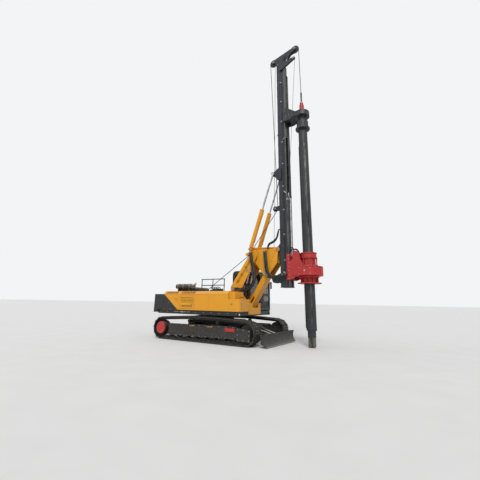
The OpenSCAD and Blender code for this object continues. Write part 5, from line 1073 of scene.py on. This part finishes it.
# Boom: hard pipes and clips on its right cheek, weld beads where the cross tubes pass through
bm = bmesh.new()
cheek = side_y("boom", 1420, 2590, -1)
pipe_foot, pipe_head = at(1100, -cheek - 12, 2150), at(1730, -cheek - 12, 3060)
along = (pipe_head - pipe_foot).normalized()
drop = (pipe_head - pipe_foot).cross(leftward).normalized()
for k in range(3):
    bar(bm, pipe_foot + drop * 0.03 * k, pipe_head + drop * 0.03 * k, 9, 12, 1)
for t in (0.08, 0.35, 0.65, 0.92):
    spot = pipe_foot.lerp(pipe_head, t) + drop * 0.03
    plate(bm, [spot + along * a + drop * b + leftward * c for a in (-0.013, 0.013)
        for b in (-0.05, 0.05) for c in (-0.015, 0.012)], 0)
    bolt(bm, spot - leftward * 0.014, -leftward, 14, 2)
finish("boom_pipes", bm, [moulded_nylon, yellow_enamel, zinc], "boom")
bm = bmesh.new()
for x, z, radius in ((1820, 3230, 100), (1521.5, 2639, 80)):
    for s in (-1, 1):
        reach = side_y("boom", x + radius * 0.7, z, s)
        if reach:
            ring = [at(x + radius * math.cos(a), s * reach, z + radius * math.sin(a)) for a in
                (2 * math.pi * k / 40 for k in range(41))]
            tube(bm, ring, 0.005, 6)
finish("boom_weld_beads", bm, yellow_enamel, "boom")

# Mast: a welded box in blue-black enamel, in three lengths bolted through flanges, with two
# greased guide rails in front. The crowd cylinder, its pipes and the sheaves are fixed to it.
mast_enamel = enamel("blue_black_enamel", "#1B2127", "#232A31", "#6E706E", roughness=0.34, dust=0.35,
    wear=0.45)
# Machined rail, bright under a dark film of old grease that gathers in streaks
greased, tree, place = new_material("greased_rail_steel")
drawn = add(tree, "Mapping", {"Vector": place, "Scale": (1000 / 25, 1000 / 25, 1000 / 400)})
grease = add(tree, "TexNoise", {"Vector": drawn, "Scale": 1.0, "Detail": 7.0})
tone = add(tree, "ValToRGB", {"Fac": grease}, stops=((0.38, "#26241F"), (0.62, "#6F6C66")))
gloss = add(tree, "MapRange", {"Value": grease, "To Min": 0.2, "To Max": 0.5})
surface = add(tree, "BsdfPrincipled", {"Base Color": tone, "Metallic": 0.85, "Roughness": gloss})
add(tree, "OutputMaterial", {"Surface": surface})

# The rails' faces stand ahead of the mast's front plate, between these heights and widths in m
rail_back, rail_low, rail_high, rail_in, rail_out = at(3215, 0, 0).x, 2.0, 11.37, 0.148, 0.24
coat([mast_enamel, greased], "mast", pick=lambda face: int(face.center.x > rail_back
    and rail_low < face.center.z < rail_high and rail_in < abs(face.center.y) < rail_out))
coat(mast_enamel, "crown", "crowd_barrel", "aux_winch", "kelly_guide")
coat(chrome, "crowd_rod")

# Bolts through the flanges where the mast's lengths meet, and through the foot of its head
flanges = (4194, 8294)
bm = bmesh.new()
for z in flanges:
    bolts_on(bm, "mast", [at(2887, y, z + 60) for y in range(-180, 181, 45)], (0, 0, -1), 16)
    bolts_on(bm, "mast", [at(2887, y, z - 104) for y in range(-180, 181, 45)], (0, 0, 1), 16)
bolts_on(bm, "crown", [at(x, y, 12000) for y in (-215, 215, -120, 120) for x in (2885, 3060, 3240)],
    (0, 0, -1), 22)
finish("mast_bolts", bm, zinc, "mast")

# Inspection covers down the mast's sides, each on four bolts
bm = bmesh.new()
for s in (-1, 1):
    for z in (3350, 5150, 7000, 9150, 10700):
        block(bm, (2985, s * 193, z), (3115, s * 199, z + 210), 3)
        for x in (3003, 3097):
            for dz in (22, 188):
                bolt(bm, at(x, s * 198, z + dz), Vector((0, s, 0)), 12, 1)
    # Stitch welds along the rear corners, but not across a flange
    for k in range(24):
        z = 2160 + 400 * k
        if all(abs(z - flange) > 100 for flange in flanges):
            bar(bm, at(2903, s * 196, z), at(2903, s * 196, z + 120), 5, 6)
finish("mast_covers", bm, [mast_enamel, zinc], "mast")

# Manifold fittings, and flare nuts on the two pipes at every clip
clips = [2960 + 980 * k for k in range(9)]
bm = bmesh.new()
for y in (-430, -370, -310):
    for z in (2412, 2468):
        turned(bm, at(3167, y, z), forward, [(15, 0), (15, 14), (11, 16), (11, 30)], 6)
    turned(bm, at(3130, y, 2489), up, [(17, 0), (17, 10), (13, 12), (13, 44), (9, 48)], 20)
for x in (3072, 3104):
    for z in clips:
        turned(bm, at(x, -209, z), up, [(11, 0), (17, 2), (17, 24), (14, 26), (14, 44), (11, 46)], 6)
bolts_on(bm, "mast", [at(3088, -600, z - 45) for z in clips], (0, 1, 0), 12)
finish("mast_pipe_fittings", bm, zinc, "mast")

# Crowd cylinder: it hangs rod down, with its gland at the foot, two ports and two pipes
bm = bmesh.new()
turned(bm, at(3283, 0, 5450), up, [(58, -14), (67, -11), (68, 60), (59, 64), (37, 4), (37, -14)], 40,
    bored=True)
for z in (5560, 8080):
    turned(bm, at(3283, -56, z), -leftward, [(22, 0), (22, 14), (17, 16), (17, 36)], 6, 1)
for z, bend_z, end_z in ((5560, 5610, 5700), (8080, 8040, 7960)):
    pipe(bm, ((3283, -92, z), (3268, -150, z), (3200, -214, bend_z), (3120, -222, end_z)), 12, 10, 1)
for z in (6300, 7400):
    turned(bm, at(3283, 0, z), up, [(58, 0), (66, 3), (66, 37), (58, 40)], 40, bored=True)
finish("crowd_cylinder_trim", bm, [mast_enamel, zinc], "mast")

# Sheaves: a turned cap with six small bolts on each end of every pin. A line that meets the node
# farther than that from the sheave's side has missed the pin.
astray = 200
bm = bmesh.new()
for node_name, x, y, z, half in (("mast", 2650, 0, 5080, 28), ("crown", 2690, 0, 12180, 26),
        ("crown", 3732, 0, 12470, 26), ("crown", 3730, -235, 11800, 20)):
    for s in (-1, 1):
        place, normal = cast(node_name, at(x + 8, y + s * 900, z + 6), (0, -s, 0))
        if place and abs(abs(place.y * 1000 - y) - half) < astray:
            spot = Vector((at(x, 0, 0).x, place.y, z / 1000))
            out = Vector((0, s, 0))
            turned(bm, spot, out, [(44, 0), (44, 8), (38, 12), (24, 12), (22, 18), (8, 18)], 32, 0)
            bolt_ring(bm, spot + out * 0.008, out, 33, 6, 9, material=1)
finish("sheave_pin_caps", bm, [steel, zinc], "mast")

# Ropes: steel wire rope of six strands round a core, greased black-brown. The main rope, 28 mm,
# runs from the winch under the roller and over the head, straight wherever it is taut.

# Dark drawn wire in black grease, dull, with a dusty brown cast on the outer wires
rope_steel = patchy("greased_wire_rope", 35, 6.0, ((0.35, "#211F1C"), (0.7, "#4C463C")), 0.5, 0.7)


def rope(bm, route, radius, lay):
    """Six strands laid round a core: a lobed section that turns once in each lay, in mm."""
    lobes, valley = 12, 0.8
    rings, normal, run = [], None, 0.0
    for i, p in enumerate(route):
        heading = (route[min(i + 1, len(route) - 1)] - route[max(i - 1, 0)]).normalized()
        normal = normal or heading.orthogonal().normalized()
        normal = (normal - heading * normal.dot(heading)).normalized()
        across = heading.cross(normal)
        run += (p - route[max(i - 1, 0)]).length * 1000
        ring = []
        for k in range(lobes):
            a = math.pi * k / 6 + 2 * math.pi * run / lay
            turn = math.cos(a) * normal + math.sin(a) * across
            ring.append(bm.verts.new(p + radius / 1000 * (valley if k % 2 else 1.0) * turn))
        rings.append(ring)
    for one, two in zip(rings, rings[1:]):
        for k in range(lobes):
            bm.faces.new((one[k], one[(k + 1) % lobes], two[(k + 1) % lobes], two[k]))
    bm.faces.new(rings[0])
    bm.faces.new(rings[-1][::-1])


def straight(a, b, step):
    count = max(2, round((b - a).length * 1000 / step))
    return [a.lerp(b, k / count) for k in range(count + 1)]


def tangent(one, two, one_side, two_side):
    """Where a line touches two circles [x, z, radius], as angles in degrees. A side is 1 or -1."""
    dx, dz = two[0] - one[0], two[1] - one[1]
    heading = math.atan2(dz, dx)
    lean = math.asin((one_side * one[2] - two_side * two[2]) / math.hypot(dx, dz))
    normal = heading + math.pi / 2 - lean
    angles = [normal if s > 0 else normal + math.pi for s in (one_side, two_side)]
    return [math.degrees(a) for a in angles]


def wound(name, body, circle, half, rope_r, lay):
    """Rope wound side by side on a drum across the rig."""
    x, z, radius = circle
    turn_steps = 28
    steps = int((2 * half) / (2 * rope_r + 1)) * turn_steps
    route = []
    for k in range(steps + 1):
        a = 2 * math.pi * k / turn_steps
        y = -half + rope_r + (2 * half - 2 * rope_r) * k / steps
        route.append(at(x + radius * math.cos(a), y, z + radius * math.sin(a)))
    bm = bmesh.new()
    rope(bm, route, rope_r, lay)
    finish(name, bm, rope_steel, body)


# Radius and lay of each rope, and the circles [x, z, radius] that its middle follows
main_r, main_lay, aux_r, aux_lay = 14, 170, 8, 100
winch, roller = (-633, 1676, 200 + main_r), (1345, 3320, 58 + main_r)
rear, head_rear = (2650, 5080, 82 + main_r), (2690, 12180, 162 + main_r)
head_front = (3732, 12470, 162 + main_r)
aux_winch, lead, arm = (2640, 2300, 95 + aux_r), (2925, 11905, 56 + aux_r), (3730, 11800, 62 + aux_r)
wound("winch_rope_wraps", "upper", winch, 255, main_r, main_lay)
wound("aux_winch_rope_wraps", "mast", aux_winch, 74, aux_r, aux_lay)


def spot(circle, degrees, y=0):
    a = math.radians(degrees)
    return at(circle[0] + circle[2] * math.cos(a), y, circle[1] + circle[2] * math.sin(a))


def arc(circle, start, end, steps, y=0):
    """Part of a turn round a sheave, in degrees from straight ahead towards up."""
    return [spot(circle, start + (end - start) * k / steps, y) for k in range(steps + 1)]


def taut(name, start, end):
    """A straight run of the main rope between two bodies that move apart."""
    bm = bmesh.new()
    rope(bm, straight(start, end, 24), main_r, main_lay)
    run = finish(name, bm, rope_steel)
    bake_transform(run)
    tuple(start)
    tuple(end)


# Winch drum to the roller, under it, and on to the mast's rear sheave
off_winch, on_roller = tangent(winch, roller, 1, -1)
taut("main_rope_to_roller", spot(winch, off_winch), spot(roller, on_roller))
off_roller, on_rear = tangent(roller, rear, -1, -1)
bm = bmesh.new()
rope(bm, arc(roller, on_roller, off_roller, 10), main_r, main_lay)
finish("main_rope_on_roller", bm, rope_steel, "knuckle")
taut("main_rope_to_mast", spot(roller, off_roller), spot(rear, on_rear))
# Up behind the mast, over both head sheaves, and down to the swivel's socket on the kelly's axis
off_rear, on_head = tangent(rear, head_rear, -1, 1)
over_rear, over_front = tangent(head_rear, head_front, 1, 1)
bm = bmesh.new()
route = arc(rear, on_rear, off_rear, 12)
route += straight(spot(rear, off_rear), spot(head_rear, on_head), 28)[1:-1]
route += arc(head_rear, on_head, over_rear, 20)
route += straight(spot(head_rear, over_rear), spot(head_front, over_front), 28)[1:-1]
route += arc(head_front, over_front, 0, 16)
rope(bm, route, main_r, main_lay)
finish("main_rope_over_head", bm, rope_steel, "mast")
kelly_x = 3930
taut("main_rope_to_swivel", spot(head_front, 0), at(kelly_x, 0, 10096))
# The second rope climbs from the small winch behind the mast to the small arm and hangs beside it
aux_y, off_arm, rope_end = -235, -4, at(3330, -236, 5580)
over_lead, over_arm = tangent(lead, arm, 1, 1)
bm = bmesh.new()
route = straight(at(aux_winch[0] - aux_winch[2], -30, aux_winch[1]), spot(lead, 180, aux_y), 16)
route += arc(lead, 180, over_lead, 12, aux_y)[1:]
route += straight(spot(lead, over_lead, aux_y), spot(arm, over_arm, aux_y), 16)[1:-1]
route += arc(arm, over_arm, off_arm, 14, aux_y)
route += straight(spot(arm, off_arm, aux_y), rope_end, 16)[1:]
rope(bm, route, aux_r, aux_lay)
finish("aux_rope", bm, rope_steel, "mast")
# A lead sheave in a bolted bracket turns it towards the arm
lead_x, lead_z = lead[:2]
cheeks = ((-262, -252), (-218, -206))
bm = bmesh.new()
turned(bm, at(lead_x, -247, lead_z), leftward, [(76, 0), (76, 4), (56, 9), (56, 15), (76, 20),
    (76, 24)], 40)
turned(bm, at(lead_x, -262, lead_z), leftward, [(18, 0), (18, 70)], 20)
for y0, y1 in cheeks:
    block(bm, (lead_x - 34, y0, lead_z - 44), (lead_x + 34, y1, lead_z + 40), 6)
block(bm, (lead_x - 26, -262, lead_z - 110), (lead_x + 34, -193, lead_z - 80), 6)
for y0, y1 in cheeks:
    block(bm, (lead_x - 26, y0, lead_z - 96), (lead_x + 34, y1, lead_z - 38), 4)
finish("lead_sheave", bm, mast_enamel, "mast")
# Its wedge socket and hook are made fast to a lug on the mast's side
hang = Vector((0.064, 0, 1)).normalized()
socket, hook_r = rope_end - hang * 0.16, 0.052
bm = bmesh.new()
turned(bm, socket, hang, [(14, 0), (24, 12), (27, 90), (18, 150), (11, 168)], 16)
hook = [socket + Vector((hook_r * math.sin(a), 0, -0.06 - hook_r * math.cos(a))) for a in
    (math.radians(-150 + 20 * k) for k in range(15))]
tube(bm, [rope_end - hang * 0.15] + hook, 0.012, 12)
block(bm, (3225, -262, 5300), (3300, -240, 5360), 4)
pipe(bm, ((3290, -250, 5330), (3318, -246, 5320), (3332, -236, 5345), (3326, -236, 5372)),
    9, 10, step=20)
finish("aux_hook", bm, steel, "mast")

# Rotary drive: a cast and welded gearbox on a sled that slides on the rails, in red enamel. Two
# hydraulic motors stand behind it, and the casing sleeve hangs under it.
coat(red_enamel, "drive_sled", "drive_gearbox", "drive_sleeve")
motor_z = 3.0  # red gearing below, the grey cases of the motors above
coat([red_enamel, cast_iron], "drive_motors", pick=lambda face: int(face.center.z > motor_z))
bm = bmesh.new()
bolt_ring(bm, at(kelly_x, 0, 2759), up, 308, 20, 21)
bolts_on(bm, "drive_gearbox", [at(kelly_x + 455 * math.cos(a), 455 * math.sin(a), 3400) for a in
    (math.radians(-150 + 15 * k) for k in range(21))], (0, 0, -1), 24)
bolt_ring(bm, at(kelly_x, 0, 3200), up, 298, 16, 16)
for s in (-1, 1):
    bolts_on(bm, "drive_sled", [at(x, s * 800, z) for x in (3278, 3312)
        for z in range(2290, 3160, 140)], (0, -s, 0), 16)
    bolts_on(bm, "drive_gearbox", [at(kelly_x + 420 * math.cos(a), s * 900, z)
        for a in (0.6, 1.1, 1.6, 2.1) for z in (2440, 2640)], (0, -s, 0), 20)
    top = cast("drive_motors", at(3485, s * 165, 3500), (0, 0, -1))[0]
    bolt_ring(bm, top, up, 50, 6, 14)
    bolts_on(bm, "drive_motors", [at(3485 + 96 * math.cos(a), s * 165 + 96 * math.sin(a), 2860) for a in
        (math.pi * k / 6 for k in range(12))], (0, 0, -1), 13)
finish("drive_bolts", bm, zinc, "drive")
bm = bmesh.new()
bolts_on(bm, "drive_sleeve", [at(kelly_x + 320 * math.cos(a), 320 * math.sin(a), 1900) for a in
    (math.pi * (k + 0.5) / 6 for k in range(12))], (0, 0, 1), 22)
finish("sleeve_bolts", bm, zinc, "drive_sleeve")
# Motor ports, a breather, an oil plug and a sight gauge
bm = bmesh.new()
for s in (-1, 1):
    for z in (3030, 3078):
        turned(bm, at(3485, s * 228, z), Vector((0, s, 0)), [(20, 0), (20, 12), (15, 14), (15, 34)], 6)
turned(bm, at(3640, 230, 2758), up, [(22, 0), (22, 10), (30, 12), (30, 40), (20, 48)], 20)
turned(bm, at(3640, -230, 2758), up, [(20, 0), (20, 12), (12, 14)], 6)
turned(bm, at(kelly_x, -479, 2540), -leftward, [(34, 0), (34, 6), (26, 8), (26, 12)], 28)
finish("drive_ports", bm, zinc, "drive")
# Seal rings of turned steel show between the columns, with the columns' feet round them
bm = bmesh.new()
turned(bm, at(kelly_x, 0, 2760), up, [(216, 0), (236, 0), (236, 30), (228, 36), (228, 60), (240, 66),
    (240, 92), (216, 98)], 64, bored=True)
for k in range(12):
    a = 2 * math.pi * (k + 0.5) / 12
    foot = at(kelly_x + 285 * math.cos(a), 285 * math.sin(a), 2702)
    turned(bm, foot, up, [(30, 0), (30, 14), (22, 18)], 6)
finish("drive_seal_rings", bm, steel, "drive")
# Motor hoses, 33 mm across: two loop over from the block on the sled to each motor's ports
small_hose_r = 0.0165
bm = bmesh.new()
block(bm, (3268, -178, 3100), (3330, 178, 3172), 6, 1)
loops = []
for s in (-1, 1):
    for k, z in enumerate((3078, 3030)):
        from_y = s * (98 + 52 * k)
        line = smooth_route([at(*p) for p in (
            (3300, from_y, 3172), (3302, from_y * 1.02, 3290 + 50 * k),
            (3352, from_y + s * 20, 3392 + 40 * k), (3440, s * (190 + 30 * k), 3372 + 20 * k),
            (3490, s * (262 + 26 * k), 3240), (3488, s * (290 + 14 * k), 3120 - 20 * k),
            (3485, s * 288, z + 12), (3485, s * 258, z))], 0.025)
        loops.append((f"motor_hose_{'right' if s < 0 else 'left'}_{k + 1}", line))
        turned(bm, at(3300, from_y, 3168), up, [(22, 0), (22, 16), (18, 18), (18, 44)], 6, 1)
finish("drive_hose_block", bm, [rubber, zinc], "drive")
for name, line in loops:
    bm = bmesh.new()
    tube(bm, line, small_hose_r, 12)
    hose = finish(name, bm, rubber, "drive")
    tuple(line[0])
    run_length(line)
# Supply hoses climb from the knuckle's crest to the mast in a slack bow
for k in range(3):
    y = -262 - 40 * k
    line = smooth_route([at(*p) for p in (
        (2420, y, 3420), (2440, y, 3520), (2500, y - 6, 3600 + 14 * k),
        (2600, y - 8, 3640 + 16 * k), (2720, y - 6, 3700 + 18 * k), (2815, y + 4, 3840),
        (2858, y + 20, 4000), (2872, -232 - 12 * k, 4160))], 0.03)
    bm = bmesh.new()
    tube(bm, line, small_hose_r, 12)
    hose = finish(f"crest_hose_{k + 1}", bm, rubber)
    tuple(line[0])
    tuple(line[-1])
    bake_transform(hose)
    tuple(line[0])
    run_length(line)

# Kelly: thick drawn tubes in blue-black enamel with welded drive keys, rubbed bright by the
# drive, a square stub with a pin hole, and a swivel that hangs it from the rope.
kelly_enamel = enamel("kelly_enamel", "#1B2024", "#252A2F", "#77736C", roughness=0.4, dust=0.4,
    wear=0.55)
# Bright are the keys, which stand out past key_foot from the axis, and the stub up to its shoulder
kelly_axis, key_foot, key_low, key_high = at(kelly_x, 0, 0), 0.186, 0.6, 7.7
stub_top, neck_z = 0.335, 9.553
coat([kelly_enamel, greased], "kelly_outer", pick=lambda face: int(key_low < face.center.z < key_high
    and math.hypot(face.center.x - kelly_axis.x, face.center.y) > key_foot))
coat([kelly_enamel, greased], "kelly_inner", pick=lambda face: int(face.center.z < stub_top))
coat([red_enamel, black_enamel], "swivel", pick=lambda face: int(face.center.z > neck_z))
bm = bmesh.new()
for z, axis, radius, count, size in (
        (8360, up, 268, 16, 20), (9126, up, 232, 12, 22), (8300, -up, 268, 16, 20)):
    bolt_ring(bm, at(kelly_x, 0, z), axis, radius, count, size)
finish("kelly_bolts", bm, zinc, "kelly")
bm = bmesh.new()
for z in (700, 900, 7620, 8200):
    turned(bm, at(kelly_x, 0, z), up, [(175, 0), (180, 3), (180, 9), (175, 12)], 72, bored=True)
finish("kelly_weld_rings", bm, kelly_enamel, "kelly")
bm = bmesh.new()
bolt_ring(bm, at(kelly_x, 0, 9167), up, 172, 12, 22)
for s in (-1, 1):
    bolts_on(bm, "kelly_guide", [at(x, s * 700, z) for x in (3330, 3450, 3570) for z in (8960, 9040)],
        (0, -s, 0), 20)
    bolts_on(bm, "kelly_guide", [at(x, s * 700, z) for x in (3245, 3290)
        for z in (8830, 8930, 9260, 9360)], (0, -s, 0), 16)
for z in (9300, 9420):
    turned(bm, at(kelly_x, -94, z), -leftward, [(9, 0), (9, 8), (5, 12), (6, 16)], 6)
finish("swivel_bolts", bm, zinc, "kelly_guide")
bm = bmesh.new()
turned(bm, at(kelly_x, 0, 9150), up, [(96, 22), (110, 26), (110, 60), (98, 66)], 48)
turned(bm, at(kelly_x, 0, 9560), up, [(66, 0), (72, 5), (72, 22), (60, 28)], 40)
turned(bm, at(kelly_x, -46, 9640), leftward, [(22, -6), (30, -4), (30, 6), (22, 8), (22, 84), (30, 86),
    (30, 96), (22, 98)], 24)
turned(bm, at(kelly_x, 0, 10070), up, [(34, 0), (38, 4), (38, 24), (26, 46), (17, 60)], 32)
turned(bm, at(kelly_x, 0, 9760), up, [(35, 0), (40, 6), (40, 26), (35, 32)], 32)
finish("swivel_rings", bm, steel, "kelly_guide")

# Painted marks the photograph shows on the right guard stay as blank colour: a red bar and two
# yellow dashes, on thin plates riveted at their ends.
bm = bmesh.new()
block(bm, (1240, -1348, 440), (1650, -1343, 560), 2, 0)
for x in (1256, 1634):
    turned(bm, at(x, -1347.5, 500), -leftward, [(6, 0), (5, 2), (2, 3)], 12, 2)
for x0 in (-380, 460):
    for k in range(4):
        block(bm, (x0 + 62 * k, -1346, 545), (x0 + 40 + 62 * k, -1343, 575), 1, 1)
finish("guard_marks", bm, [red_enamel, yellow_enamel, zinc], "root")


size = {"cad": [list(cad_low), list(cad_high)]}
low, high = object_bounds()
size["visual"] = [list(low), list(high)]
